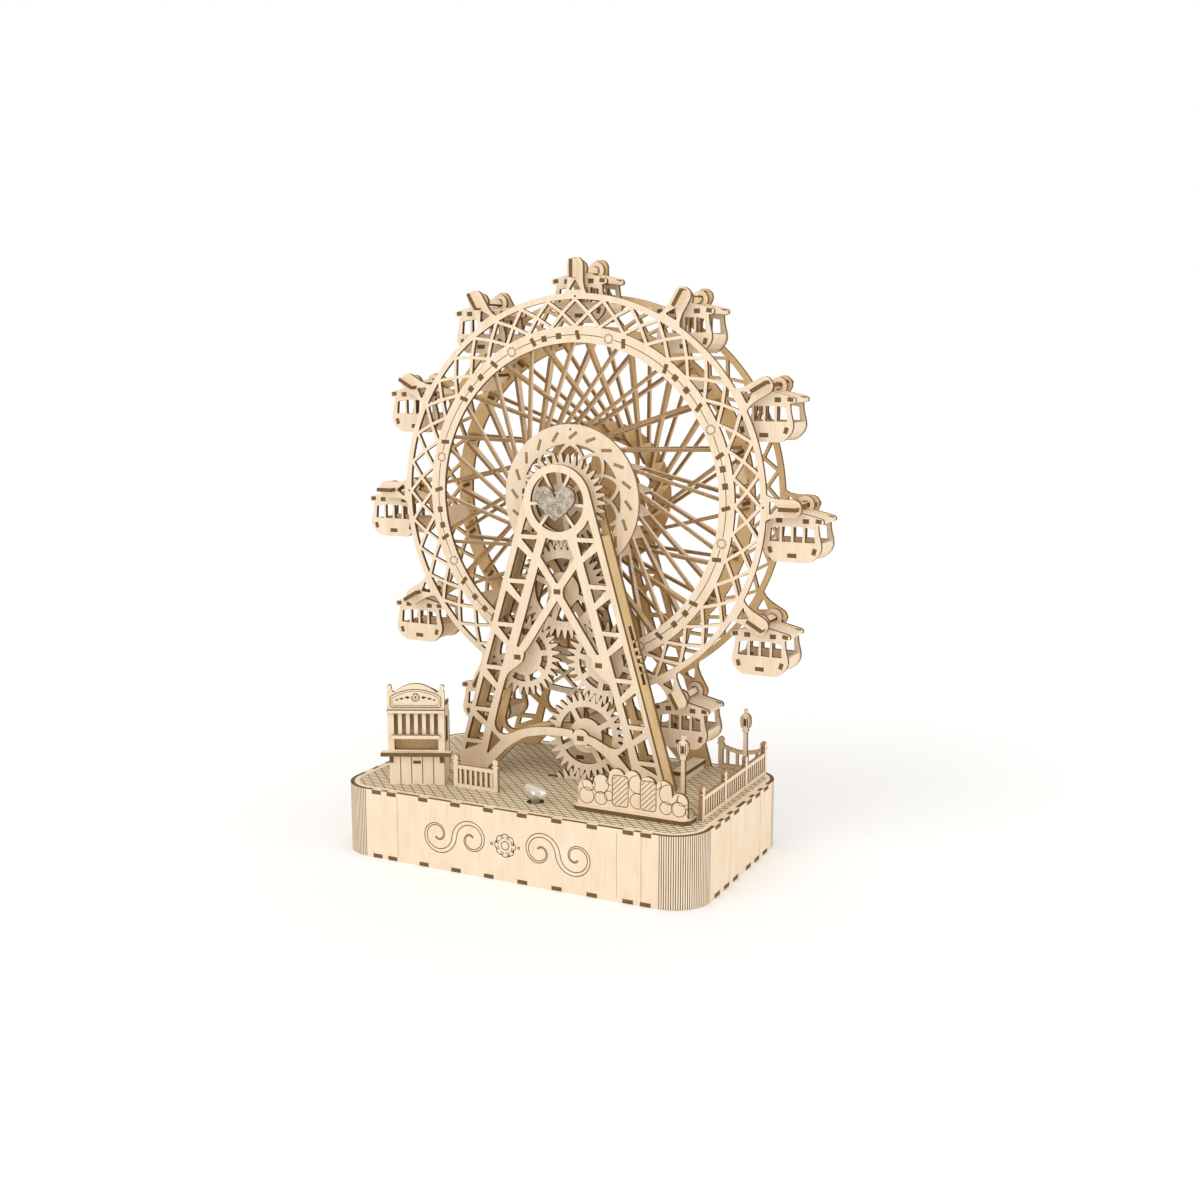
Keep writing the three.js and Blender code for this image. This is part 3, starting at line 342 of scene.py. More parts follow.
def whole(half):
    """A closed outline from its right half, whose ends lie on the middle."""
    return half + mirrored(half)[1:]


def edges_of_line(points, widths, closed=False):
    """The left and right edges of a line along points, with a width at each point."""
    left, right = [], []
    total = len(points)
    for i, point in enumerate(points):
        before = points[i - 1] if closed or i else point
        after = points[(i + 1) % total] if closed or i < total - 1 else point
        along = (Vector(after) - Vector(before)).normalized()
        across = Vector((-along.y, along.x)) * widths[i] / 2
        left.append(tuple(Vector(point) + across))
        right.append(tuple(Vector(point) - across))
    return left, right


def line(points, width, closed=False):
    """The loops that bound a line of even width."""
    left, right = edges_of_line(points, [width] * len(points), closed)
    return [left, right] if closed else [left + right[::-1]]


# Places
def at(x, y, z):
    return Matrix.Translation((x, y, z))


def spun(degrees, axis="Z"):
    return Matrix.Rotation(math.radians(degrees), 4, axis)


def standing(front, thickness=SHEET):
    """Stands a flat sheet up so that its last face looks to the front."""
    return at(0, front + thickness, 0) @ spun(90, "X")


def lying(low):
    return at(0, 0, low)


def axis_of(name):
    """Where the axis of a round CAD part stands, across and up."""
    low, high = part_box(name)
    return (low.x + high.x) / 2, (low.z + high.z) / 2


def middle_of(name):
    """The middle of a CAD part's box."""
    low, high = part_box(name)
    return (low + high) / 2


# Sheets
def join(target, part):
    """Adds the part's mesh to the target and frees the part."""
    mesh = bpy.data.meshes.new("joined")
    part.to_mesh(mesh)
    part.free()
    target.from_mesh(mesh)
    bpy.data.meshes.remove(mesh)


def fill(part, loops, index):
    """Fills an outline, less its holes."""
    before = set(part.faces)
    edges = []
    for loop in loops:
        corners = [part.verts.new((x, y, 0)) for x, y in loop]
        edges += [part.edges.new((corners[i - 1], corners[i])) for i in range(len(corners))]
    bmesh.ops.triangle_fill(part, use_beauty=True, use_dissolve=False, edges=edges)
    for face in set(part.faces) - before:
        face.material_index = index


def sheet(target, regions, place, thickness=SHEET, edge=EDGE):
    """Adds a flat sheet cut square through. Each region is its loops and its face's material."""
    part = bmesh.new()
    for loops, index in regions:
        fill(part, loops, index)
    bmesh.ops.remove_doubles(part, verts=part.verts, dist=WELD)
    raised = bmesh.ops.extrude_face_region(part, geom=part.faces[:])["geom"]
    corners = [item for item in raised if isinstance(item, bmesh.types.BMVert)]
    bmesh.ops.translate(part, vec=(0, 0, thickness), verts=corners)
    bmesh.ops.recalc_face_normals(part, faces=part.faces)
    for face in part.faces:
        if abs(face.normal.z) < 0.7:
            face.material_index = edge
    bmesh.ops.transform(part, matrix=place, verts=part.verts)
    join(target, part)


def plate(target, loops, place, thickness=SHEET, index=FACE, edge=EDGE):
    """Adds a sheet of one material: an outline and its holes."""
    sheet(target, [(loops, index)], place, thickness, edge)


def engrave(target, loops, place, thickness=SHEET):
    """Adds an engraved line as a thin dark layer on the last face of a sheet placed like this."""
    lift = place @ at(0, 0, thickness - LINE_RISE)
    plate(target, loops, lift, LINE_RISE * 2, LINE, LINE)


def engrave_line(target, points, width, place, closed=False, thickness=SHEET):
    """Engraves a line of even width along points."""
    engrave(target, line(points, width, closed), place, thickness)


def tab_end(target, outline, place, thickness=SHEET):
    """Adds the end of a tab that shows on both faces of a sheet placed like this."""
    lift = place @ at(0, 0, -TAB_RISE)
    plate(target, [outline], lift, thickness + TAB_RISE * 2, EDGE, EDGE)


def piece(name, part, body, materials, replaces=()):
    """Makes a mesh a piece of the scene that moves with a CAD body."""
    mesh = bpy.data.meshes.new(name)
    part.to_mesh(mesh)
    part.free()
    for material in materials:
        mesh.materials.append(material)
    item = bpy.data.objects.new(name, mesh)
    bpy.context.scene.collection.objects.link(item)
    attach(item, body)
    if replaces:
        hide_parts(*replaces)


# Materials
MATERIAL_PREFIX = "music_box_"
COLOURS = {"data_type": "RGBA"}


def feed(tree, node, inputs):
    """Gives a node its inputs, in order or by name, each a value or a link from another node."""
    named = inputs if isinstance(inputs, dict) else dict(enumerate(inputs))
    for name, value in named.items():
        if isinstance(value, bpy.types.NodeSocket):
            tree.links.new(value, node.inputs[name])
        else:
            node.inputs[name].default_value = value


def add_node(tree, kind, settings=None, inputs=(), output=0):
    """Adds a node with its settings and inputs, and returns one of its outputs."""
    node = tree.nodes.new(f"ShaderNode{kind}")
    for name, value in (settings or {}).items():
        setattr(node, name, value)
    feed(tree, node, inputs)
    return node.outputs[output] if node.outputs else None


def shader(name):
    """The tree and the surface shader of a new material."""
    material = bpy.data.materials.new(MATERIAL_PREFIX + name)
    material.use_nodes = True
    tree = material.node_tree
    return tree, tree.nodes["Principled BSDF"]


def object_place(tree):
    return add_node(tree, "TexCoord", output="Object")


def noise(tree, place, size, detail=3.0, roughness=0.5):
    """Noise whose spots are of this size in metres along X, Y and Z."""
    scale = tuple(1 / part for part in size)
    stretched = add_node(tree, "Mapping", inputs={"Vector": place, "Scale": scale})
    return add_node(tree, "TexNoise", inputs={
        "Vector": stretched, "Scale": 1.0, "Detail": detail, "Roughness": roughness,
    })


def finish_surface(tree, bsdf, tone, height, bump, roughness, shine=0.5, strength=0.35, span=(0.2, 0.8)):
    """Sets a surface's colour and shine, and a bump in metres and a roughness that follow its height."""
    feed(tree, bsdf, {
        "Base Color": tone, "Specular IOR Level": shine,
        "Roughness": add_node(tree, "MapRange", inputs=(height, *span, *roughness)),
        "Normal": add_node(tree, "Bump", inputs={"Height": height, "Strength": strength, "Distance": bump}),
    })


# Which way the grain runs, as an axis
LENGTHWISE, CROSSWISE, UPRIGHT = 0, 1, 2

# Basswood veneer grows in fine grain lines under a millimetre apart, which run a few centimetres
GRAIN_ACROSS = 0.7 * mm
GRAIN_ALONG = 26 * mm
FIGURE = 15 * mm
PORE = 0.25 * mm
GRAIN_BUMP = 0.05 * mm

# A laser leaves soot in spots of about a millimetre on a cut edge
SOOT = 0.9 * mm
CHAR_BUMP = 0.08 * mm

# The deck's engraved lines are cut a tenth of a millimetre deep and wander a little every few millimetres
DECK_CUT = 0.12 * mm
DECK_WANDER = 5 * mm

# The heart's burnt dots, and the patches in which they are denser
STIPPLE = 0.42 * mm
STIPPLE_PATCH = 2.6 * mm
STIPPLE_BUMP = 0.12 * mm

# Scratches in metal, as sizes along X, Y and Z
KEY_SCRATCHES = (0.4 * mm, 0.4 * mm, 4 * mm)
BRASS_SCRATCHES = (0.3 * mm, 3 * mm, 0.3 * mm)
STEEL_SCRATCHES = (3 * mm, 0.2 * mm, 0.2 * mm)
SCRATCH_BUMP = 0.02 * mm


def grain_size(axis, across=GRAIN_ACROSS, along=GRAIN_ALONG):
    return tuple(along if index == axis else across for index in range(3))


def veneer_colour(tree, place, axis, pale, deep):
    """The colour and grain height of sanded basswood veneer with its grain along an axis."""
    grain = noise(tree, place, grain_size(axis), 4.0, 0.6)
    figure = noise(tree, place, grain_size(axis, FIGURE / 3, FIGURE), 2.0)
    pores = noise(tree, place, grain_size(axis, PORE, PORE * 8), 1.0)
    mixed = add_node(tree, "Mix", inputs={0: 0.6, 2: figure, 3: grain})
    depth = add_node(tree, "MapRange", inputs=(mixed, 0.38, 0.66))
    toned = add_node(tree, "Mix", COLOURS, {0: depth, 6: (*pale, 1), 7: (*deep, 1)}, 2)
    dark = [part * 0.72 for part in deep]
    hole = add_node(tree, "MapRange", inputs=(pores, 0.66, 0.8, 0.0, 0.5))
    return add_node(tree, "Mix", COLOURS, {0: hole, 6: toned, 7: (*dark, 1)}, 2), grain


def char_colour(tree, place, pale, deep):
    """The colour and height of a laser-cut edge: burnt, with soot in uneven spots."""
    soot = noise(tree, place, (SOOT,) * 3, 4.0, 0.65)
    burnt = add_node(tree, "MapRange", inputs=(soot, 0.35, 0.68))
    return add_node(tree, "Mix", COLOURS, {0: burnt, 6: (*pale, 1), 7: (*deep, 1)}, 2), soot


def veneer(name, axis, pale, deep):
    """Sanded basswood veneer, cut by laser: matt, pale, with a fine grain and few pores."""
    tree, bsdf = shader(name)
    tone, grain = veneer_colour(tree, object_place(tree), axis, pale, deep)
    finish_surface(tree, bsdf, tone, grain, GRAIN_BUMP, (0.6, 0.78), 0.3)


def charred(name, pale, deep):
    """A laser-cut plywood edge: matt brown char that swallows light."""
    tree, bsdf = shader(name)
    tone, soot = char_colour(tree, object_place(tree), pale, deep)
    finish_surface(tree, bsdf, tone, soot, CHAR_BUMP, (0.78, 0.92), 0.15)


def cut_sheet(name, axis, sheet_normal, veneer_tones, char_tones):
    """A whole laser-cut sheet in one material: veneer on its two faces, char on its cut edges."""
    tree, bsdf = shader(name)
    place = object_place(tree)
    normal = add_node(tree, "TexCoord", output="Normal")
    tone, grain = veneer_colour(tree, place, axis, *veneer_tones)
    burnt, soot = char_colour(tree, place, *char_tones)
    facing = add_node(tree, "VectorMath", {"operation": "DOT_PRODUCT"}, (normal, sheet_normal), "Value")
    level = add_node(tree, "Math", {"operation": "ABSOLUTE"}, [facing])
    flat = add_node(tree, "Math", {"operation": "GREATER_THAN"}, (level, 0.7))
    mixed = add_node(tree, "Mix", COLOURS, {0: flat, 6: burnt, 7: tone}, 2)
    height = add_node(tree, "Mix", inputs={0: 0.5, 2: soot, 3: grain})
    finish_surface(tree, bsdf, mixed, height, GRAIN_BUMP, (0.62, 0.85), 0.25)


def deck_lines(tree, place, sizes):
    """How deep the deck is engraved, from 0 to 1, by two families of lines at 45 degrees."""
    x, y = (add_node(tree, "SeparateXYZ", inputs=[place], output=axis) for axis in (0, 1))
    drift = noise(tree, place, (DECK_WANDER,) * 3, 1.0)
    wander = add_node(tree, "Math", {"operation": "MULTIPLY"}, (drift, 0.12))
    close = ("SUBTRACT", sizes.paving, sizes.paving_line)
    wide = ("ADD", sizes.paving_long, sizes.paving_cross)
    lines = []
    for operation, spacing, width in (close, wide):
        across = add_node(tree, "Math", {"operation": operation}, (x, y))
        steps = add_node(tree, "Math", {"operation": "DIVIDE"}, (across, spacing * math.sqrt(2)))
        drawn = add_node(tree, "Math", {"operation": "ADD"}, (steps, wander))
        offset = add_node(tree, "Math", {"operation": "PINGPONG"}, (drawn, 0.5))
        half = width / spacing / 2
        lines.append(add_node(tree, "MapRange", inputs=(offset, half * 0.7, half * 1.5, 1.0, 0.0)))
    return add_node(tree, "Math", {"operation": "MAXIMUM"}, lines)


def engraved_deck(name, colours, sizes):
    """Deck veneer, dulled and toned by the laser that engraved it."""
    tree, bsdf = shader(name)
    place = object_place(tree)
    tone, grain = veneer_colour(tree, place, LENGTHWISE, colours.deck, colours.deck_deep)
    engraved = deck_lines(tree, place, sizes)
    wear = add_node(tree, "MapRange", inputs=(grain, 0.2, 0.7, 1.0, 0.75))
    worn = add_node(tree, "Math", {"operation": "MULTIPLY"}, (engraved, wear))
    relief = add_node(tree, "Math", {"operation": "MULTIPLY"}, (grain, 0.3))
    height = add_node(tree, "Math", {"operation": "SUBTRACT"}, (relief, engraved))
    feed(tree, bsdf, {
        "Base Color": add_node(tree, "Mix", COLOURS, {0: worn, 6: tone, 7: (*colours.line, 1)}, 2),
        "Roughness": add_node(tree, "MapRange", inputs=(engraved, 0, 1, 0.7, 0.9)),
        "Normal": add_node(tree, "Bump", inputs={"Height": height, "Strength": 0.6, "Distance": DECK_CUT}),
    })


def stippled(name, colours):
    """Heart plywood engraved with a fine stipple of burnt dots about half a millimetre apart."""
    tree, bsdf = shader(name)
    place = object_place(tree)
    fine = noise(tree, place, (STIPPLE,) * 3, 2.0, 0.8)
    broad = noise(tree, place, (STIPPLE_PATCH,) * 3, 2.0)
    mixed = add_node(tree, "Mix", inputs={0: 0.75, 2: broad, 3: fine})
    bare = add_node(tree, "MapRange", inputs=(mixed, 0.44, 0.56))
    tones = {6: (*colours.heart_deep, 1), 7: (*colours.heart, 1)}
    tone = add_node(tree, "Mix", COLOURS, {0: bare} | tones, 2)
    finish_surface(tree, bsdf, tone, fine, STIPPLE_BUMP, (0.7, 0.9))


def metal(name, tint, roughness, brushing):
    """Bare metal: polished or brushed, with faint scratches of the given size."""
    tree, bsdf = shader(name)
    scratches = noise(tree, object_place(tree), brushing, 3.0)
    finish_surface(tree, bsdf, (*tint, 1), scratches, SCRATCH_BUMP, roughness, strength=0.1, span=(0.3, 0.7))
    feed(tree, bsdf, {"Metallic": 1.0})


def finishes():
    """The object's materials by name."""
    made = [item for item in bpy.data.materials if item.name.startswith(MATERIAL_PREFIX)]
    return {item.name.removeprefix(MATERIAL_PREFIX): item for item in made}


# The CAD parts that the scene keeps, by their finish
CAD_FINISHES = {
    "right_board_sheet": ["tower_right_board"],
    "left_board_sheet": ["tower_left_board"],
    "dowel": ["main_axle", "centre_gear_axle", "right_gear_axle", "left_gear_axle", "bottom_gear_axle"],
    "worn_brass": ["movement_bedplate", "spring_barrel", "pin_cylinder", "governor_fly"],
    "brushed_steel": ["tone_comb", "governor_frame"],
}


class MUSICBOX_OT_materials(bpy.types.Operator):
    """Make the plywood, char, engraving and metal materials and dress the CAD parts that stay"""

    bl_idname = "music_box.materials"
    bl_label = "Materials"

    def execute(self, context):
        colours = context.scene.music_box_colours
        sizes = context.scene.music_box_base
        face = (colours.face, colours.face_deep)
        raw = (colours.inner, colours.inner_deep)
        char = (colours.char, colours.char_deep)
        burnt_line = tuple(part * 0.8 for part in colours.line)
        veneer("basswood_veneer", UPRIGHT, *face)
        veneer("level_veneer", LENGTHWISE, *face)
        # The darker raw veneer of the plates at the back and of the booth's inner sheet: the veneer with
        # painted shade
        veneer("raw_veneer", UPRIGHT, *raw)
        charred("charred_edge", *char)
        charred("toasted_edge", colours.spoke_edge, colours.spoke_edge_deep)
        charred("engraved_line", colours.line, burnt_line)
        engraved_deck("engraved_deck", colours, sizes)
        stippled("stippled_heart", colours)
        metal("polished_chrome", colours.chrome, (0.55, 0.68), KEY_SCRATCHES)
        metal("worn_brass", colours.brass, (0.25, 0.42), BRASS_SCRATCHES)
        metal("brushed_steel", colours.steel, (0.25, 0.4), STEEL_SCRATCHES)
        slope = math.atan(LEG_SLOPE)
        for name, side in (("right", 1), ("left", -1)):
            normal = (side * math.cos(slope), 0, math.sin(slope))
            cut_sheet(f"{name}_board_sheet", UPRIGHT, normal, raw, char)
        # A dowel's ends are sawn and pale, and its round side is toasted
        cut_sheet("dowel", CROSSWISE, (0, 1, 0), char, raw)
        made = finishes()
        for finish, nodes in CAD_FINISHES.items():
            for node in nodes:
                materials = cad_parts[node].data.materials
                materials.clear()
                materials.append(made[finish])
        return {"FINISHED"}


def plywood(kind="basswood_veneer", edge="charred_edge"):
    """The materials of a new plywood piece: its veneer, its cut edges and its engraving."""
    made = finishes()
    return [made[kind], made[edge], made["engraved_line"]]


def deck_piece(name, part, node, kind="basswood_veneer"):
    """Makes a mesh a plywood piece on the deck, in place of one CAD part."""
    piece(name, part, "stand", plywood(kind), [node])


# Base box
# Where the veneer's joints show on the front and on the left side, from their middles
FRONT_JOINTS = (-59.5 * mm, 57 * mm, 69 * mm)
SIDE_JOINTS = (-16 * mm, 24 * mm)

# Room round the drive gear in the deck's slot, and the key's hole
GEAR_ROOM = 0.6 * mm
KEY_HOLE = 4.2 * mm

# The floor's sheet is a little thinner than its tabs, so that their faces don't meet
FLOOR_SHARE = 0.98


def smooth_outline(inset, corner):
    """The base outline, drawn in by an inset."""
    return rounded_rectangle(WALL_HIGH.x - inset, WALL_HIGH.y - inset, corner - inset, 24)


def grooved_outline(sizes):
    """The outer outline of the walls, with a bending groove every few degrees round each corner."""
    radius = sizes.corner - sizes.recess
    bottom = radius - sizes.groove_depth
    step = 90 / sizes.grooves
    half = math.degrees(sizes.groove_width / 2 / radius)
    points = []
    for x, y, start in corner_turns(WALL_HIGH.x - sizes.recess, WALL_HIGH.y - sizes.recess, radius):
        for i in range(sizes.grooves):
            middle = start + step * (i + 0.5)
            points += [polar(radius, middle - half, x, y), polar(bottom, middle - half, x, y),
                       polar(bottom, middle + half, x, y), polar(radius, middle + half, x, y)]
    return points


def long_tab_places(sizes):
    """Tab centres along half a long wall: even ones, and one close to the last."""
    places = [sizes.tab_spacing * (i + 0.5) for i in range(sizes.front_pairs)]
    return places + [places[-1] + sizes.pair_spacing]


def short_tab_places(sizes):
    """Tab centres along half a short wall."""
    return [sizes.side_start + i * sizes.side_spacing for i in range(sizes.side_tabs)]


def edge_tabs(sizes, reach):
    """The outlines of the tabs that run out through the walls."""
    half = sizes.tab_length / 2
    tabs = [rectangle(place - half, place + half, WALL_HIGH.y - reach, WALL_HIGH.y)
            for place in long_tab_places(sizes)]
    half = sizes.side_tab / 2
    tabs += [rectangle(WALL_HIGH.x - reach, WALL_HIGH.x, place - half, place + half)
             for place in short_tab_places(sizes)]
    quarters = [(1, 1), (1, -1), (-1, 1), (-1, -1)]
    return [[(side_x * x, side_y * y) for x, y in tab] for tab in tabs for side_x, side_y in quarters]


def scroll_band(reach, turns=1.35, steps=44, eye=0.16, thin=0.06, swell=0.2):
    """An S of two spirals about the origin, as a band that tapers to both ends.

    The eye is a spiral's smallest radius, and thin and swell are the band's widths, as shares of its reach.
    """
    points, widths = [], []
    for i in range(steps + 1):
        share = i / steps
        radius = reach * (eye + (1 - eye) * share)
        angle = 2 * math.pi * turns * (1 - share)
        points.append((radius * math.cos(angle) - reach, radius * math.sin(angle)))
        widths.append(reach * (thin + swell * share ** 2))
    points += [(-x, -y) for x, y in reversed(points[:-1])]
    widths += widths[-2::-1]
    left, right = edges_of_line(points, widths)
    return left + right[::-1]


def rosette(radius, petals=8, steps=6, overlap=1.04, bulge=100):
    """The outline of a flower of round petals about the origin."""
    points = []
    petal = radius * math.sin(math.pi / petals) * overlap
    for i in range(petals):
        clock = i * 360 / petals
        middle = polar(radius - petal, clock)
        points += arc(petal, clock - bulge, clock + bulge, steps, *middle)
    return points


def scrollwork(target, sizes, place):
    """Engraves a rosette between two mirrored scrolls, with a dot on each side of it."""
    band = moved(scroll_band(sizes.scroll), sizes.scroll_x, sizes.scroll_z)
    shapes = [band, mirrored(band), moved(rosette(sizes.rosette), 0, sizes.scroll_z)]
    shapes.append(circle(sizes.rosette * 0.36, 20, 0, sizes.scroll_z))
    dot_x = sizes.scroll_x - sizes.scroll * 2.18
    shapes += [circle(sizes.rosette * 0.1, 10, side * dot_x, sizes.scroll_z) for side in (-1, 1)]
    for shape in shapes:
        engrave_line(target, shape, sizes.line, place, closed=True)


class MUSICBOX_OT_base(bpy.types.Operator):
    """Build the walls with their bent corners and scrollwork, the floor and the paved deck"""

    bl_idname = "music_box.base"
    bl_label = "Base"

    def char_grooves(self, part, sizes):
        """Gives the bottoms of the bending grooves the dark finish of an engraving."""
        straight_x = WALL_HIGH.x - sizes.corner
        straight_y = WALL_HIGH.y - sizes.corner
        bottom = sizes.corner - sizes.recess - sizes.groove_depth
        for face in part.faces:
            middle = face.calc_center_median()
            corner = (abs(middle.x) - straight_x, abs(middle.y) - straight_y)
            deep = bottom - mm / 10 < math.hypot(*corner) < bottom + sizes.groove_depth * 0.7
            if min(corner) > 0 and deep:
                face.material_index = LINE

    def walls(self, sizes):
        part = bmesh.new()
        top = WALL_HIGH.z - sizes.recess
        loops = [grooved_outline(sizes), smooth_outline(SHEET, sizes.corner)]
        plate(part, loops, lying(sizes.recess), top - sizes.recess, EDGE, FACE)
        self.char_grooves(part, sizes)
        front = standing(sizes.recess - WALL_HIGH.y)
        side = spun(90) @ standing(sizes.recess - WALL_HIGH.x)
        scrollwork(part, sizes, front)
        for joints, place in ((FRONT_JOINTS, front), (SIDE_JOINTS, side)):
            for across in joints:
                engrave(part, [rectangle(across, across + sizes.joint, SHEET, top - SHEET)], place)
        piece("base_walls", part, "stand", plywood(), ["base_front_wall", "base_back_wall"])

    def floor(self, sizes):
        part = bmesh.new()
        plate(part, [smooth_outline(SHEET, sizes.corner)], lying(0), SHEET * FLOOR_SHARE)
        for outline in edge_tabs(sizes, SHEET):
            plate(part, [outline], lying(0))
        piece("base_bottom", part, "stand", plywood("level_veneer"), ["base_floor"])

    def deck(self, sizes):
        part = bmesh.new()
        low = DECK_TOP - SHEET
        outer = smooth_outline(SHEET, sizes.corner)
        border = smooth_outline(sizes.border, sizes.corner)
        gear_low, gear_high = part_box("drive_gear")
        gear = middle_of("drive_gear")
        radius = (gear_high.x - gear_low.x) / 2
        half = math.sqrt(radius ** 2 - (low - gear.z) ** 2) + GEAR_ROOM
        slot = rectangle(gear.x - half, gear.x + half, gear_low.y - GEAR_ROOM, gear_high.y + GEAR_ROOM)
        key = middle_of("winding_key")
        hole = circle(KEY_HOLE, 40, key.x, key.y)
        paving = 3
        sheet(part, [([outer, border], FACE), ([border, slot, hole], paving)], lying(low))
        for outline in edge_tabs(sizes, SHEET):
            plate(part, [outline], lying(low))
        materials = plywood("level_veneer") + [finishes()["engraved_deck"]]
        piece("paved_deck", part, "stand", materials, ["base_deck"])

    def execute(self, context):
        sizes = context.scene.music_box_base
        self.walls(sizes)
        self.floor(sizes)
        self.deck(sizes)
        return {"FINISHED"}


# Wheel
# The height at which an arm's spread foot has drawn in, over the rim's edge
ARM_SPREAD = 2 * mm


def lattice_holes(sizes):
    """The openings between the rim's two bands, whose struts cross once in each bay."""
    high = sizes.outer - sizes.outer_band
    low = sizes.inner + sizes.inner_band
    middle = (high + low) / 2
    bay = 360 / sizes.bays
    lean = math.atan2(middle * math.radians(bay), high - low)
    along = sizes.strut / math.sin(lean) / 2

    def across(radius):
        return math.degrees(sizes.strut / math.cos(lean) / 2 / radius)

    holes = []
    for i in range(sizes.bays):
        node = i * bay
        crossing = node + bay / 2
        holes.append(arc(high, node + across(high), node + bay - across(high), 3)
                     + [polar(middle + along, crossing)])
        holes.append(arc(low, node + across(low), node + bay - across(low), 3)
                     + [polar(middle - along, crossing)])
        holes.append([polar(high - along, node), polar(middle, crossing - across(middle)),
                      polar(low + along, node), polar(middle, node - bay / 2 + across(middle))])
    return holes


def rim_outline(sizes):
    """The rim's outer edge, with an arm at each cabin: a spread foot and a tip round the hanger bar."""
    foot = math.sqrt(sizes.outer ** 2 - sizes.foot_half ** 2)
    tip = sizes.hanger_radius + sizes.hanger_height / 2 + sizes.tip
    half = sizes.neck_half
    curl = half * 0.94
    right = [(sizes.foot_half, foot), (sizes.foot_half * 0.8, sizes.outer + ARM_SPREAD)]
    right += [(half, sizes.outer + sizes.shoulder)] + arc(curl, 90, 0, 6, half - curl, tip - curl)
    arm = mirrored(right[::-1]) + right[::-1]
    foot_clock = math.degrees(math.asin(sizes.foot_half / sizes.outer))
    step = 360 / CABINS
    points = []
    for i in range(CABINS):
        points += turned(arm, i * step)
        points += arc(sizes.outer, i * step + foot_clock, (i + 1) * step - foot_clock, 10)[1:-1]
    return points


def arm_hole(sizes):
    """The three-cornered hole in an arm's foot, with its corners cut."""
    low = sizes.outer + 1.4 * mm
    half = 3.4 * mm
    height = 4.6 * mm
    corner = 0.7 * mm
    right = [(half - corner, low), (half - corner / 2, low + corner), (corner / 2, low + height)]
    return right + mirrored(right)


# Clock angles of the cross bars and the engraved cogs, within a quarter of the wheel
BAR_CLOCKS = (-9.5, 44.7)
COG_CLOCKS = (13.1, 63.6)
QUARTERS = 4

# Marks on the wheel: tab ends beside a cross bar, ends of the spokes in their slots, and pins
TAB_SPREAD = 2.95
SPOKE_SLOT = (1 * mm, 2.25 * mm)
SPOKE_SLOT_LEAN = -18
PIN = 0.55 * mm
RIM_PIN_RADIUS = 96.7 * mm
HUB_PIN_RADIUS = 33.8 * mm


def quarter_turns(clocks):
    return [clock + 360 / QUARTERS * quarter for quarter in range(QUARTERS) for clock in clocks]


def cog_line(radius, teeth=8):
    """The outline of a small cog about the origin."""
    points = []
    for i in range(teeth):
        clock = i * 360 / teeth
        points += [polar(radius, clock - 9), polar(radius, clock + 9),
                   polar(radius * 0.72, clock + 15), polar(radius * 0.72, clock + 30)]
    return points


def pin_mark(radius, clock):
    """The round end of a pin at a place on the wheel."""
    return circle(PIN, 12, *polar(radius, clock))


def build_rim(part, sizes, place, side):
    """Adds one rim: lattice ring, cabin arms, tab ends and engraved line. Side is -1 on the far rim."""
    arms = [turned(arm_hole(sizes), i * 360 / CABINS) for i in range(CABINS)]
    plate(part, [rim_outline(sizes), circle(sizes.inner, 120)] + lattice_holes(sizes) + arms, place)
    tab = moved(oblong(sizes.bar_tab / 2, sizes.bar_tab / 2), 0, sizes.bar_radius)
    for clock in quarter_turns(BAR_CLOCKS):
        for offset in (-TAB_SPREAD, TAB_SPREAD):
            tab_end(part, turned(tab, side * (clock + offset)), place)
    slot = turned(oblong(*SPOKE_SLOT), SPOKE_SLOT_LEAN * side, 0, sizes.bar_radius)
    for i in range(sizes.spokes):
        tab_end(part, turned(slot, side * (math.degrees(sizes.apex) + i * 360 / sizes.spokes)), place)
    cogs = quarter_turns(COG_CLOCKS)
    gap = math.degrees(sizes.cog / sizes.line_radius) + 0.5
    cog = moved(cog_line(sizes.cog), 0, sizes.line_radius)
    for clock, following in zip(cogs, cogs[1:] + [cogs[0] + 360]):
        engrave_line(part, arc(sizes.line_radius, clock + gap, following - gap, 24), sizes.line, place)
        engrave_line(part, turned(cog, clock), sizes.line, place, closed=True)
    for i in range(QUARTERS):
        engrave(part, [pin_mark(RIM_PIN_RADIUS, i * 360 / QUARTERS)], place)


def build_hanger_bar(part, sizes, clock, front, back):
    """Adds one hanger bar: tall at the rims, with a low neck between for the cabin's eyes."""
    high = sizes.hanger_height / 2
    neck = sizes.neck / 2
    near = RIM_FRONT + sizes.neck_start
    far = back - sizes.poke - sizes.neck_start
    upper = [(back, high), (far, high), (far, neck), (near, neck), (near, high), (front, high)]
    lower = [(x, -y) for x, y in reversed(upper)]
    x, z = polar(sizes.hanger_radius, clock)
    place = at(x, 0, WHEEL_Z + z) @ spun(clock, "Y") @ at(-SHEET / 2, 0, 0) @ ON_EDGE
    plate(part, [upper + lower], place)


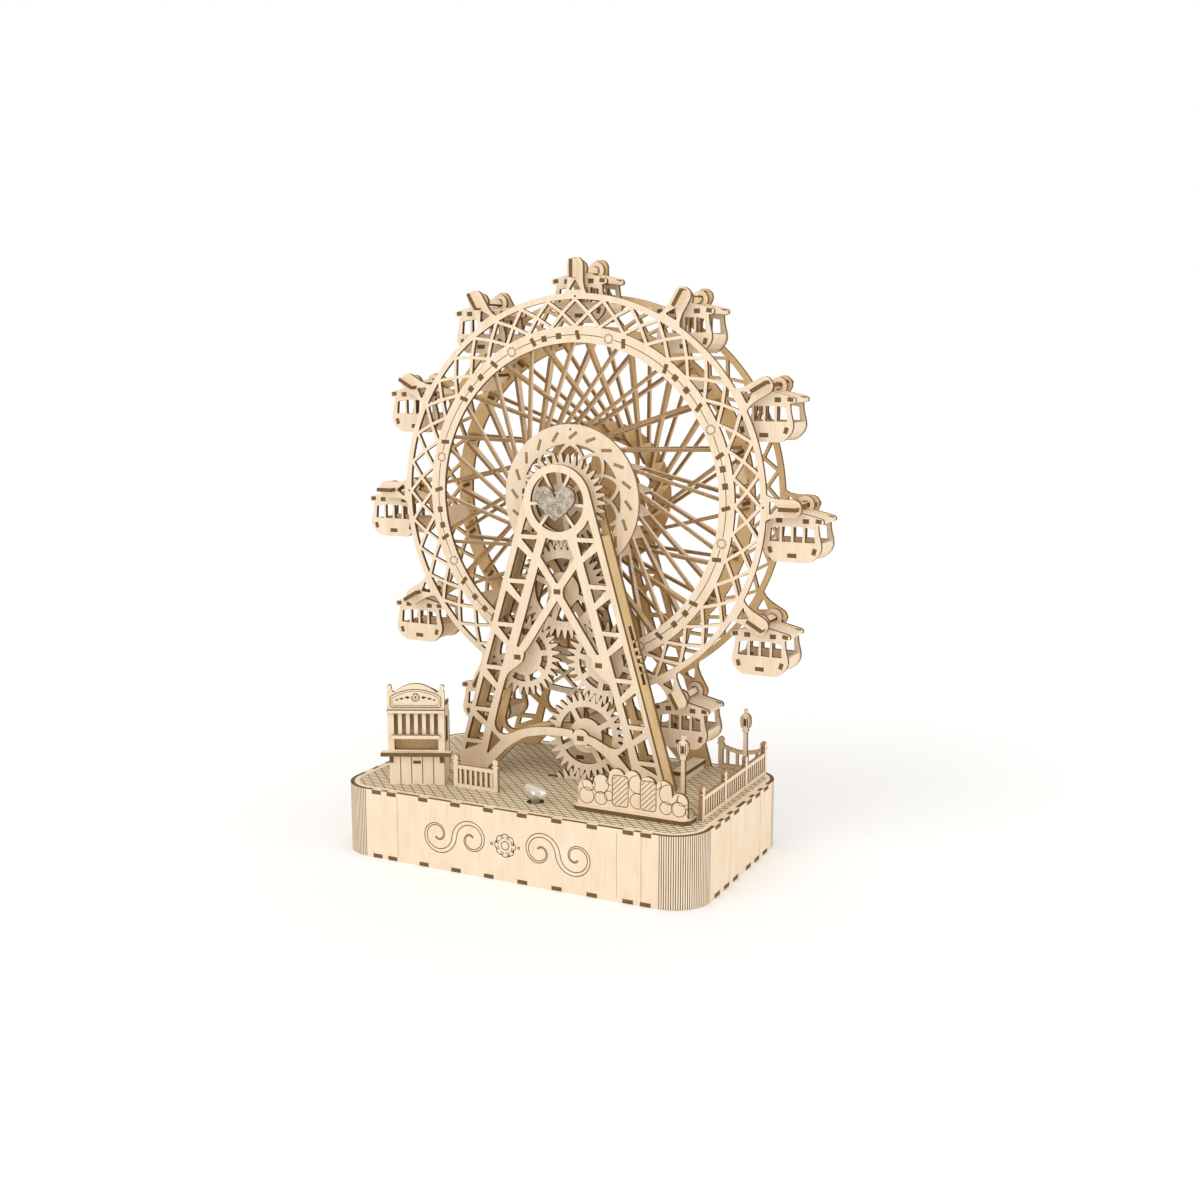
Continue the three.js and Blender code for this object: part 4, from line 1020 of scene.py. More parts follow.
class MUSICBOX_OT_rims(bpy.types.Operator):
    """Build the two lattice rims with their cabin arms, hanger bars and cross bars"""

    bl_idname = "music_box.rims"
    bl_label = "Rims"

    def execute(self, context):
        sizes = context.scene.music_box_wheel
        far_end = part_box("rear_rim")[1].y
        far_face = far_end - sizes.poke
        raised = lying(WHEEL_Z)
        near = bmesh.new()
        build_rim(near, sizes, raised @ standing(RIM_FRONT), 1)
        piece("near_rim", near, "wheel", plywood(), ["front_rim"])
        # The far rim takes the darker raw veneer, painted shade for the rim at the back
        far = bmesh.new()
        build_rim(far, sizes, raised @ spun(180) @ standing(-far_face), -1)
        piece("far_rim", far, "wheel", plywood("raw_veneer"), ["rear_rim"])
        bars = bmesh.new()
        for i in range(CABINS):
            build_hanger_bar(bars, sizes, i * 360 / CABINS, RIM_FRONT - sizes.poke, far_end)
        half = sizes.bar_width / 2
        bar = rectangle(-half, half, RIM_FRONT + SHEET, far_face - SHEET)
        for clock in quarter_turns(BAR_CLOCKS):
            plate(bars, [bar], raised @ spun(clock, "Y") @ lying(sizes.bar_radius - SHEET / 2))
        piece("wheel_bars", bars, "wheel", plywood())
        return {"FINISHED"}


# Room round the axle in a hub plate, and between an arch's crown and the hub's ring
AXLE_ROOM = 0.15 * mm
CROWN_ROOM = 0.1 * mm


def arch_radius(sizes, away):
    """The radius of an arch's bar at an angle away from its tip, in degrees."""
    drop = sizes.hub_inner - sizes.arch_foot
    return sizes.hub_inner - drop * (abs(away) / (360 / sizes.arches)) ** 1.32


def arch_holes(sizes):
    """The leaf-shaped and three-pointed openings between interlaced pointed arches."""
    step = 360 / sizes.arches
    inside = sizes.arch_bar / 2 * 1.35
    outside = sizes.arch_bar / 2 * 1.2
    leaf = step / 2 * 0.84
    start = step * 0.175
    steps = 7
    leaf_clocks = [leaf * (k / steps - 1) for k in range(2 * steps + 1)]
    rise_clocks = [start + (step / 2 - start) * k / steps for k in range(steps + 1)]
    holes = []
    for i in range(sizes.arches):
        tip = i * step
        outer = [polar(arch_radius(sizes, away) - inside, tip + away) for away in leaf_clocks]
        lower = [polar(arch_radius(sizes, step - abs(away)) + outside, tip - away) for away in leaf_clocks]
        holes.append(outer + lower[1:-1])
        rise = [polar(arch_radius(sizes, away) + inside, tip + away) for away in rise_clocks]
        fall = [polar(arch_radius(sizes, away) + inside, tip + step - away) for away in rise_clocks[-2::-1]]
        crown = arc(sizes.hub_inner - CROWN_ROOM, tip + step - start - 0.4, tip + start + 0.4, 6)
        holes.append(rise + fall + crown)
    return holes


def along_to(sizes, radius):
    """How far along a skewed spoke plate a radius is reached, from the slot circle."""
    start = sizes.slot_radius * math.cos(sizes.skew)
    return math.sqrt(start ** 2 + radius ** 2 - sizes.slot_radius ** 2) - start


def first_spoke_clock(sizes):
    """The clock angle of the first slot in the hub, whose spoke ends beside the apex."""
    reach = sizes.slot_radius / along_to(sizes, sizes.end) + math.cos(sizes.skew)
    return math.degrees(sizes.apex - sizes.split - math.atan2(math.sin(sizes.skew), reach))


def fork_outline(sizes, near_end, far_end):
    """One spoke plate: a root in the hub, a short arm to the near rim and a long one to the far rim."""
    end = along_to(sizes, sizes.end)
    land = along_to(sizes, sizes.land)
    back = sizes.hub_front + SHEET
    root = sizes.slot_length / 2
    crotch = root + sizes.root
    far_root = far_end - sizes.far_fall
    climb = sizes.far_fall * sizes.root / (end - root)
    return [
        (-root, sizes.hub_front - TAB_RISE), (root, sizes.hub_front - TAB_RISE), (root, back),
        (land, near_end), (end, near_end), (end, near_end + sizes.depth),
        (crotch, back + sizes.depth), (crotch, far_root - sizes.depth + climb),
        (end, far_end - sizes.depth), (end, far_end), (land, far_end), (root, far_root),
        (-root, back + sizes.root_depth / 2),
    ]


class MUSICBOX_OT_spokes(bpy.types.Operator):
    """Build the two hub plates with their pointed arches and the forked spoke plates"""

    bl_idname = "music_box.spokes"
    bl_label = "Spoke wheels"

    def build(self, sizes, far_face):
        part = bmesh.new()
        hub = standing(sizes.hub_front)
        loops = [circle(sizes.hub_outer, 100), circle(sizes.axle + AXLE_ROOM, 32)] + arch_holes(sizes)
        plate(part, loops, hub)
        outline = fork_outline(sizes, RIM_FRONT + SHEET, far_face - SHEET)
        first = first_spoke_clock(sizes)
        skew = Matrix.Rotation(sizes.skew - math.pi / 2, 4, "Y")
        place = lying(sizes.slot_radius) @ skew @ lying(-sizes.spoke_sheet / 2)
        for i in range(sizes.spokes):
            clock = first + i * 360 / sizes.spokes
            plate(part, [outline], spun(clock, "Y") @ place, sizes.spoke_sheet)
        engrave(part, [pin_mark(HUB_PIN_RADIUS, 0)], hub)
        return part

    def execute(self, context):
        sizes = context.scene.music_box_wheel
        far_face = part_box("rear_rim")[1].y - sizes.poke
        raised = lying(WHEEL_Z)
        near = self.build(sizes, far_face)
        bmesh.ops.transform(near, matrix=raised, verts=near.verts)
        near_finish = plywood("basswood_veneer", "toasted_edge")
        piece("near_spokes", near, "wheel", near_finish, ["front_spoke_wheel"])
        # The far wheel is the near one turned about, with its spokes' ends at the same slots
        far = self.build(sizes, far_face)
        about = at(0, RIM_FRONT + far_face, 0) @ spun(180)
        apex = Matrix.Rotation(2 * sizes.apex, 4, "Y")
        bmesh.ops.transform(far, matrix=raised @ apex @ about, verts=far.verts)
        # The far spokes take the darker raw veneer, painted shade for the spokes at the back
        far_finish = plywood("raw_veneer", "toasted_edge")
        piece("far_spokes", far, "wheel", far_finish, ["rear_spoke_wheel"])
        return {"FINISHED"}


# Tower plates. Points are millimetres across from the middle and up from the floor
RAIL_TOP = (13.2, 145.8, 0.313)
RIM_TOP = (21.6, 148.8, 0.306)
SIDE_WINDOW = [(10.3, 140), (22.7, 99.4), (21.2, 99.4), (3.4, 125.6), (2.9, 128.2), (3.5, 130.6)]
LOWER_WINDOW = [
    (0, 124), (9, 110.5), (15.8, 100), (18.6, 96.7), (18.9, 94.4), (19.6, 92), (22.8, 89.3), (26.6, 86.6),
    (28.2, 84.6), (29.6, 81.6), (33.1, 70), (35.7, 60), (35.6, 57.8), (34.6, 55.8), (32.9, 54.5), (30.7, 54),
    (28.2, 54.3), (25, 55.7), (21, 57.6), (16.8, 58.9),
]
LOWER_CROWN = [(8, 60.7), (4, 60.9), (0, 61), (-5, 60.8), (-10, 60.3), (-15, 59.4)]
ARCH = [(41.7, 34), (34.8, 41.3), (30, 46.1), (25, 50.2), (20, 53.2), (16.2, 54.9)]
ARCH_CROWN = [(8, 56.5), (4, 56.9), (0, 57), (-5, 56.8), (-10, 56.1), (-15, 54.9)]
FOOT_WINDOW = [(37.5, 55.3), (40.5, 43.3), (39.6, 43.4), (32.4, 50.9)]
HEAD_WINDOW = [(9.1, 144.8), (0.5, 132.5)]
RIB_CLOCKS = (27, 95, 142, 218, 265, 333)

# A leg's brace: the height of a full bay, how far the brace leans in it, its thickness and its blunt tip
BAY = 20 * mm
BRACE_LEAN = 6.9 * mm
BRACE = 2.9 * mm
BRACE_TIP = 0.7 * mm

# The three-cornered opening under the lowest rung: its height and how far it stays off the rail
FOOT_OPENING = 4 * mm
RAIL_TRIM = 0.4 * mm


def in_metres(points):
    return [(x * mm, z * mm) for x, z in points]


def rail_line(start, height):
    """Where a rail's edge stands at a height, in metres."""
    return (start[0] + start[2] * (start[1] - height / mm)) * mm


def rung_heights(sizes):
    heights = [sizes.first_rung - sizes.rung_spacing * i for i in range(sizes.rungs)]
    return heights + [sizes.foot_rung]


def ladder_loops(sizes):
    """The openings in the right leg: under each rung a triangle, a brace and a four-sided opening."""
    half = sizes.rung / 2
    heights = rung_heights(sizes)
    loops = []
    for high, low in zip(heights, heights[1:]):
        top, foot = high - half, low + half
        share = (top - foot) / BAY
        lean = top - BRACE_LEAN * share
        loops.append([(rail_line(RAIL_TOP, top), top), (rail_line(RIM_TOP, top) - BRACE_TIP, top),
                      (rail_line(RAIL_TOP, lean), lean)])
        outer = top - BRACE * 1.35 * share
        inner = lean - BRACE
        loops.append([(rail_line(RIM_TOP, outer), outer), (rail_line(RIM_TOP, foot), foot),
                      (rail_line(RAIL_TOP, foot), foot), (rail_line(RAIL_TOP, inner), inner)])
    foot = heights[-1] - half
    point = foot - FOOT_OPENING
    loops.append([(rail_line(RAIL_TOP, foot), foot), (rail_line(RIM_TOP, foot) - RAIL_TRIM, foot),
                  (rail_line(RIM_TOP, point) - RAIL_TRIM, point)])
    head = sizes.first_rung + half
    beside = [polar(sizes.ring, clock, 0, WHEEL_Z) for clock in range(114, 147, 6)]
    loops.append(beside + [(beside[-1][0], head), (rail_line(RIM_TOP, head), head)])
    return loops


def head_loops(sizes):
    """The openings between the ribs of the round head."""
    loops = []
    for start, end in zip(RIB_CLOCKS, RIB_CLOCKS[1:] + (RIB_CLOCKS[0] + 360,)):
        bends = []
        for radius, steps in ((sizes.opening, 10), (sizes.rib_hub, 4)):
            lean = math.degrees(sizes.rib / 2 / radius)
            bends.append(arc(radius, start + lean, end - lean, steps, 0, WHEEL_Z))
        loops.append(bends[0] + bends[1][::-1])
    return loops


def tower_outline(sizes, boss):
    """The plate's outer edge: round head, straight legs and an arch that swells at the lowest axle."""
    angle = math.degrees(math.atan(sizes.slope))
    shoulder = polar(sizes.head, 90 - angle, 0, WHEEL_Z)
    foot = shoulder[0] + sizes.slope * (shoulder[1] - DECK_TOP)
    points = [(-foot, DECK_TOP)]
    points += arc(sizes.head, angle - 90, 90 - angle, 40, 0, WHEEL_Z)
    points += [(foot, DECK_TOP)] + in_metres(ARCH)
    points += arc(sizes.boss, 118, 246, 10, *boss)
    points += in_metres(ARCH_CROWN) + mirrored(in_metres(ARCH))
    return points


def tower_windows(sizes, boss):
    """The openings beside and under the braces, from the head down to the feet."""
    side, foot, head = in_metres(SIDE_WINDOW), in_metres(FOOT_WINDOW), in_metres(HEAD_WINDOW)
    lower = in_metres(LOWER_WINDOW)
    swell = arc(sizes.boss, 62, -66, 10, *boss)
    lower_loop = lower + swell + in_metres(LOWER_CROWN) + mirrored(lower[1:-1])
    ring = [polar(sizes.ring, clock, 0, WHEEL_Z) for clock in range(199, 160, -4)]
    return [side, mirrored(side), foot, mirrored(foot), lower_loop, ring + head + mirrored(head)]


class MUSICBOX_OT_tower(bpy.types.Operator):
    """Build the three A-shaped plates with their ladder legs, crossed braces and arch"""

    bl_idname = "music_box.tower"
    bl_label = "Tower plates"

    def execute(self, context):
        sizes = context.scene.music_box_tower
        axles = [axis_of(f"{name}_gear_axle") for name in ("centre", "right", "left", "bottom")]
        boss = axles[-1]
        ladder = ladder_loops(sizes)
        loops = [tower_outline(sizes, boss)] + tower_windows(sizes, boss)
        loops += ladder + [mirrored(loop) for loop in ladder]
        bearing = [circle(sizes.bearing, 24, 0, WHEEL_Z)]
        tab = oblong(sizes.tab_width / 2, sizes.tab_height / 2)
        # The inner and rear plates take the darker raw veneer, painted shade for the plates behind the front
        # one
        for name, holes, kind, slot in (
                ("front", head_loops(sizes), "basswood_veneer", "face_plywood"),
                ("inner", bearing, "raw_veneer", "inner_plywood"),
                ("rear", bearing, "raw_veneer", "inner_plywood")):
            part = bmesh.new()
            node = f"tower_{name}_plate"
            place = standing(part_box(node)[0].y)
            plate(part, loops + holes, place)
            for axle in axles if name != "rear" else ():
                tab_end(part, moved(tab, *axle), place)
            piece(f"tower_{name}", part, "stand", plywood(kind), [node])
        return {"FINISHED"}


# Gears. Each has a part that stands on its axis, its body, its teeth, its windows, and the windows' inner and
# outer radius in millimetres
GEARS = [
    ("hub_gear", "main_axle", "wheel", 35, 6, 8.5, 15),
    ("centre_gear", "centre_gear_axle", "centre_gear", 37, 4, 8.7, 15.6),
    ("right_gear", "right_gear_axle", "right_gear", 31, 8, 10.2, 13.5),
    ("left_gear", "left_gear_axle", "left_gear", 31, 8, 10.2, 13.5),
    ("bottom_gear", "bottom_gear_axle", "bottom_gear", 33, 4, 8.7, 14.4),
    ("drive_gear", "drive_gear", "drive", 26, 4, 6.4, 10.4),
]
GEAR_BAR = 1.4 * mm

# Half a tooth's width from root to tip, as shares of the tooth pitch, and how far out each lies
TOOTH = [(0.38, 0), (0.3, 0.28), (0.22, 0.56), (0.13, 0.86), (0.06, 1)]


def gear_loops(teeth, first, root, tip, bore, windows, low, high):
    """A gear's outline, its bore and its windows, about its own axle."""
    pitch = 360 / teeth
    outline = []
    for i in range(teeth):
        middle = first + i * pitch
        outline += [polar(root + (tip - root) * out, middle - pitch * half) for half, out in TOOTH]
        outline += [polar(root + (tip - root) * out, middle + pitch * half) for half, out in reversed(TOOTH)]
    loops = [outline, circle(bore, 24)]
    near, far = math.degrees(GEAR_BAR / low), math.degrees(GEAR_BAR / high)
    for i in range(windows):
        start, end = first + i * 360 / windows, first + (i + 1) * 360 / windows
        loops.append(arc(high, start + far, end - far, 8) + arc(low, end - near, start + near, 6))
    return loops


class MUSICBOX_OT_gears(bpy.types.Operator):
    """Build the gear train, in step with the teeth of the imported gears"""

    bl_idname = "music_box.gears"
    bl_label = "Gears"

    def execute(self, context):
        sizes = context.scene.music_box_tower
        for name, axle, body, teeth, windows, low, high in GEARS:
            x, z = axis_of(axle)
            corners = [(vertex.co.x - x, vertex.co.z - z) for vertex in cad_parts[name].data.vertices]
            tip_corner = max(corners, key=lambda corner: math.hypot(*corner))
            tip = math.hypot(*tip_corner)
            first = math.degrees(math.atan2(*tip_corner))
            root = tip - sizes.tooth
            loops = gear_loops(teeth, first, root, tip, sizes.gear_bore, windows, low * mm, high * mm)
            front, back = (corner.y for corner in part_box(name))
            part = bmesh.new()
            plate(part, loops, at(x, 0, z) @ standing(front, back - front), back - front)
            piece(f"{name}_cut", part, body, plywood(), [name])
        return {"FINISHED"}


# Cabins, about their hanger. The side below its widest place: in from there and down from there
BELLY = [(0, 0.6 * mm), (0.8 * mm, 3 * mm), (2.6 * mm, 5.2 * mm)]
CABIN_WALL = 1.5 * mm
CABIN_WINDOWS = 4

# Tab ends on a cabin's end panel: half the width and height, place across and up, and lean in degrees
CABIN_TABS = [
    (1.5 * mm, 1.1 * mm, 6.4 * mm, -5.8 * mm, 0), (1.4 * mm, 1 * mm, 12.4 * mm, -5.6 * mm, 8),
    (1 * mm, 1.5 * mm, 10.6 * mm, -19.6 * mm, 16),
]
CABIN_FLOOR_TAB = (2.2 * mm, 1 * mm)
CABIN_FLOOR_TAB_Z = -21.9 * mm


def cabin_belly(sizes):
    return [(sizes.waist - x, -sizes.waist_drop - z) for x, z in BELLY]


def cabin_panel_loops(sizes):
    """A cabin's end panel: rounded peak, eaves, bulging sides, a hanger hole and four windows."""
    corner = 1.1 * mm
    flare = 0.5 * mm
    droop = 0.9 * mm
    ease = 0.2 * mm
    toe = 1.4 * mm
    side = [
        (sizes.eave - corner, -sizes.eave_top + ease), (sizes.eave, -sizes.eave_top - corner * 0.6),
        (sizes.eave, -sizes.eave_foot + corner * 0.4), (sizes.eave - corner, -sizes.eave_foot),
        (sizes.wall, -sizes.eave_foot - ease * 1.5), (sizes.wall + flare, -sizes.waist_drop * 0.66),
        (sizes.waist - ease, -sizes.waist_drop * 0.9), *cabin_belly(sizes),
        (sizes.foot, -sizes.drop + flare), (sizes.foot - toe, -sizes.drop),
    ]
    loops = [arc(sizes.eyelet, -120, 120, 14) + side + mirrored(side), circle(sizes.hole, 18)]
    pitch = (2 * sizes.window_half + sizes.mullion) / CABIN_WINDOWS
    for i in range(CABIN_WINDOWS):
        left = -sizes.window_half + i * pitch
        right = left + pitch - sizes.mullion
        first, last = i == 0, i == CABIN_WINDOWS - 1
        loops.append([(left - flare * first, -sizes.window_foot), (right + flare * last, -sizes.window_foot),
                      (right, -sizes.window_top - droop * last), (left, -sizes.window_top - droop * first)])
    return loops


def cabin_tabs():
    """The tab ends on a cabin's end panel, in pairs, and the floor's one."""
    tabs = [moved(oblong(*CABIN_FLOOR_TAB), 0, CABIN_FLOOR_TAB_Z)]
    for half, tall, x, z, lean in CABIN_TABS:
        tabs += [turned(oblong(half, tall), side * lean, side * x, z) for side in (-1, 1)]
    return tabs


def build_cabin(sizes):
    """One cabin about its hanger: two end panels, a curved side wall each side, a floor and a roof."""
    part = bmesh.new()
    front = standing(sizes.front)
    back = at(0, sizes.front + sizes.back, 0) @ spun(180) @ front
    for place in (front, back):
        plate(part, cabin_panel_loops(sizes), place)
        for outline in cabin_tabs():
            tab_end(part, outline, place)
    depth = sizes.back - sizes.front - SHEET * 2
    between = standing(sizes.front + SHEET, depth)
    inset = 0.6 * mm
    flare = 0.5 * mm
    outside = [(sizes.waist - inset * 1.4, -sizes.sill)] + [(x - inset, z) for x, z in cabin_belly(sizes)]
    outside.append((sizes.foot - inset, -sizes.drop + flare + inset))
    inside = [(x - CABIN_WALL, z) for x, z in outside[:3]]
    inside += [(x - CABIN_WALL, z + CABIN_WALL) for x, z in outside[3:]]
    tub = outside + mirrored(outside) + mirrored(inside)[::-1] + inside[::-1]
    plate(part, [tub], between, depth, EDGE, FACE)
    ridge = -2.2 * mm
    roof_x, roof_z = sizes.eave - 0.8 * mm, -sizes.eave_top - 0.9 * mm
    top = [(roof_x, roof_z), (0, ridge), (-roof_x, roof_z)]
    plate(part, [top + [(x, z - CABIN_WALL) for x, z in reversed(top)]], between, depth, EDGE, FACE)
    return part


class MUSICBOX_OT_cabins(bpy.types.Operator):
    """Build the twelve cabins, each on its own body"""

    bl_idname = "music_box.cabins"
    bl_label = "Cabins"

    def execute(self, context):
        sizes = context.scene.music_box_cabin
        radius = context.scene.music_box_wheel.hanger_radius
        for i in range(CABINS):
            part = build_cabin(sizes)
            x, z = polar(radius, i * 360 / CABINS)
            bmesh.ops.translate(part, vec=(x, 0, WHEEL_Z + z), verts=part.verts)
            name = f"cabin_{i + 1:02d}"
            piece(f"{name}_dressed", part, name, plywood(), [name])
        return {"FINISHED"}


# Ticket booth, in its own frame: X across the front, Y into the deck, Z up
def arched_top(half, low, rise, steps=10):
    """The right half of a flat arch, from its end to its middle."""
    points = []
    for k in range(steps + 1):
        across = 1 - k / steps
        points.append((half * across, low + rise * math.cos(across * math.pi / 2) ** 0.8))
    return points


def booth_front_loops(sizes):
    """The booth's front: a barred window, a hatch, a knob on each shoulder and a flat arch between."""
    half = sizes.width / 2
    knob = sizes.finial
    shoulder = sizes.shoulder
    lap = 0.6 * mm
    flare = 0.2 * mm
    knob_rise = 1.6 * mm
    arch_drop = 0.8 * mm
    side = [(half, sizes.counter), (half, sizes.bar_top + lap), (half + flare, shoulder - lap * 2)]
    side += arc(knob / 2, 150, -60, 8, half - knob * 0.42, shoulder + knob_rise)
    side += [(half - knob * 1.02, shoulder - lap / 2), (half - knob * 1.4, shoulder - lap * 1.5)]
    rise = sizes.crown - shoulder + arch_drop + flare
    side += arched_top(half - knob * 1.6, shoulder - arch_drop, rise)
    wide = sizes.window
    loops = [whole(side), rectangle(-wide, wide, sizes.hatch_foot, sizes.hatch_top)]
    gap = (2 * wide - sizes.bars * sizes.bar) / (sizes.bars + 1)
    for i in range(sizes.bars + 1):
        left = -wide + i * (gap + sizes.bar)
        loops.append(rectangle(left, left + gap, sizes.bar_foot, sizes.bar_top))
    return loops


# The sign's two border lines, as how far each is drawn in and its width, and the room round them
SIGN_LINES = [(0, 0.42 * mm), (0.9 * mm, 0.26 * mm)]
SIGN_MARGIN = 1.5 * mm
SIGN_FOOT = 3.2 * mm
SIGN_CORNER = 0.8 * mm
SIGN_DROP = 2.6 * mm
SIGN_BEND = 0.6 * mm

# The sign's flower: its radius, its eye and its line. Its leaves: place across, drop and half length
FLOWER = 2.1 * mm
FLOWER_EYE = 0.6 * mm
FLOWER_LINE = 0.34 * mm
LEAVES = [(4.1 * mm, 0.1 * mm, 1.5 * mm), (6.9 * mm, 0.7 * mm, 1.25 * mm), (9.1 * mm, 1.3 * mm, 0.95 * mm)]


def booth_sign(part, sizes, place):
    """Engraves an arched double border round the sign field, and a small flower between its leaves."""
    low = sizes.bar_top + SIGN_FOOT
    for inset, width in SIGN_LINES:
        across = sizes.width / 2 - SIGN_MARGIN - inset
        top = sizes.shoulder - SIGN_DROP - inset
        side = [(across - SIGN_CORNER, low + inset), (across, low + inset + SIGN_CORNER)]
        side.append((across, top - SIGN_BEND))
        side += arched_top(across - SIGN_CORNER, top, sizes.crown - sizes.shoulder)
        engrave_line(part, whole(side), width, place, closed=True)
    middle = (sizes.bar_top + sizes.crown) / 2 + SIGN_CORNER
    engrave_line(part, moved(rosette(FLOWER, 7), 0, middle), FLOWER_LINE, place, closed=True)
    engrave(part, [circle(FLOWER_EYE, 12, 0, middle)], place)
    for across, drop, half in LEAVES:
        leaf = [(-half, 0), (-half * 0.2, half * 0.5), (half, 0), (-half * 0.2, -half * 0.5)]
        shape = moved(leaf, across, middle - drop)
        engrave(part, [shape], place)
        engrave(part, [mirrored(shape)], place)


# The booth's house: how far its walls stand in and back, how far their tops drop below the roof at the
# front and the back, and the door's jambs, sill and drops
HOUSE_IN = 0.4 * mm
HOUSE_BACK = 0.7 * mm
WALL_DROPS = (1 * mm, 4 * mm)
DOOR_JAMBS = (4 * mm, 5 * mm)
DOOR_SILL = 2 * mm
DOOR_DROPS = (7 * mm, 9 * mm)

# The planked foot: how far it stands back, its slot, and the marks between its planks
FOOT_BACK = 0.6 * mm
SLOT_HALF = 1.9 * mm
SLOT_FOOT, SLOT_TOP = 10.4 * mm, 11.9 * mm
SLOT_BACK = 1.1 * mm
PLANK_MARK = 0.2 * mm
PLANK_END = 0.3 * mm

# The sheet behind the window, painted shade that stands in for the booth's dark inside, and the arched top of
# the back wall over and under the roof's height
SHADE_SHEET = 0.8 * mm
SHADE_SHEET_IN = 0.6 * mm
SHADE_SHEET_DROP = 3 * mm
BACK_ARCH_DROP = 9 * mm
BACK_ARCH_RISE = 5 * mm
ROOF_DROP = 0.6 * mm

# The counter shelf: its rounded corners, its lap behind the front, its inner ledge and its brackets
SHELF_CURL = 1.6 * mm
SHELF_LAP = 0.6 * mm
LEDGE_IN = 1 * mm
BRACKET_IN = 0.5 * mm


class MUSICBOX_OT_booth(bpy.types.Operator):
    """Build the ticket booth: sign front, barred window, counter, planked foot, sides and roof"""

    bl_idname = "music_box.booth"
    bl_label = "Ticket booth"

    def front(self, sizes, place):
        part = bmesh.new()
        front = place @ standing(0)
        plate(part, booth_front_loops(sizes), front)
        booth_sign(part, sizes, front)
        half = sizes.width / 2
        strips = [(sizes.bar_top + 0.7 * mm, sizes.bar_top + 1.9 * mm, half + 0.3 * mm),
                  (sizes.hatch_top + 0.1 * mm, sizes.bar_foot - 0.2 * mm, half - 2.2 * mm)]
        for low, high, reach in strips:
            plate(part, [rectangle(-reach, reach, low, high)], place @ standing(-SHEET))
        deck_piece("booth_sign", part, "booth_front")

    def side_walls(self, part, sizes, place):
        near, far = SHEET + HOUSE_BACK, sizes.depth - SHEET
        wall = [(near, 0), (far, 0), (far, sizes.roof - WALL_DROPS[1]), (near, sizes.roof - WALL_DROPS[0])]
        sill = sizes.counter + DOOR_SILL
        door_near, door_far = near + DOOR_JAMBS[0], far - DOOR_JAMBS[1]
        door = [(door_near, sill), (door_far, sill),
                (door_far, sizes.roof - DOOR_DROPS[1]), (door_near, sizes.roof - DOOR_DROPS[0])]
        inner = sizes.width / 2 - HOUSE_IN
        for x in (-inner, inner - SHEET):
            plate(part, [wall, door], place @ at(x, 0, 0) @ ON_EDGE)

    def planked_foot(self, part, sizes, place):
        inner = sizes.width / 2 - HOUSE_IN
        top = sizes.counter - SHEET
        front = place @ standing(FOOT_BACK)
        slot = rectangle(-SLOT_HALF, SLOT_HALF, SLOT_FOOT, SLOT_TOP)
        plate(part, [rectangle(-inner, inner, 0, top), slot], front)
        for i in range(1, sizes.planks):
            x = -inner + 2 * inner * i / sizes.planks
            engrave(part, [rectangle(x - PLANK_MARK, x + PLANK_MARK, PLANK_END, top - PLANK_END)], front)
        plate(part, [slot], place @ standing(SLOT_BACK, SLOT_BACK), SLOT_BACK, EDGE)

    def house(self, sizes, place):
        part = bmesh.new()
        self.side_walls(part, sizes, place)
        self.planked_foot(part, sizes, place)
        inner = sizes.width / 2 - HOUSE_IN
        crown = arc(inner, 90, -90, 12, 0, sizes.roof - BACK_ARCH_DROP)
        arch = [(x, min(y, sizes.roof + BACK_ARCH_RISE)) for x, y in crown]
        plate(part, [[(inner, 0)] + arch + [(-inner, 0)]], place @ standing(sizes.depth - SHEET))
        # A sheet of the darker raw veneer stands inside behind the window as painted shade for the booth's
        # dark inside
        raw = 3
        across = sizes.width / 2 - SHEET - SHADE_SHEET_IN
        shade_sheet = rectangle(-across, across, sizes.counter, sizes.roof - SHADE_SHEET_DROP)
        plate(part, [shade_sheet], place @ standing(sizes.depth * 0.3, SHADE_SHEET), SHADE_SHEET, raw, raw)
        roof = rectangle(-inner, inner, SHEET, sizes.depth - SHEET)
        plate(part, [roof], place @ lying(sizes.roof - ROOF_DROP) @ spun(-8, "X"))
        materials = plywood() + [finishes()["raw_veneer"]]
        piece("booth_house", part, "stand", materials, ["booth_body"])

    def shelf(self, sizes, place):
        part = bmesh.new()
        top = sizes.counter - SHEET
        reach = sizes.shelf / 2
        corner_y = SHELF_CURL - sizes.reach
        ledge = [(reach, SHELF_LAP), (reach, corner_y)]
        ledge += arc(SHELF_CURL, 90, 180, 5, reach - SHELF_CURL, corner_y)
        plate(part, [ledge + mirrored(ledge)], place @ lying(top))
        half = sizes.width / 2
        inner = half - SHEET - LEDGE_IN
        plate(part, [rectangle(-inner, inner, SHEET, sizes.depth / 2)], place @ lying(top))
        size = sizes.bracket
        bracket = [(0, top), (0, top - size * 1.3), (-size * 0.25, top - size * 1.2)]
        bracket += arc(size, 75, 15, 4, -size * 1.1, top - size) + [(-size * 1.2, top)]
        for x in (BRACKET_IN - half, half - BRACKET_IN - SHEET):
            plate(part, [bracket], place @ at(x, BRACKET_IN, 0) @ ON_EDGE)
        deck_piece("booth_shelf", part, "booth_counter", "level_veneer")

    def execute(self, context):
        sizes = context.scene.music_box_booth
        place = at(sizes.x, sizes.y, DECK_TOP) @ Matrix.Rotation(sizes.turn, 4, "Z")
        self.front(sizes, place)
        self.house(sizes, place)
        self.shelf(sizes, place)
        return {"FINISHED"}


# Fences
FENCE_RAIL = 1.9 * mm
FENCE_BALUSTER = 1.7 * mm

# How far an arched fence's top rail stands over the others' at its ends, and how far it dips in its middle
FENCE_RISE = 1.4 * mm
FENCE_DIP = 2.6 * mm


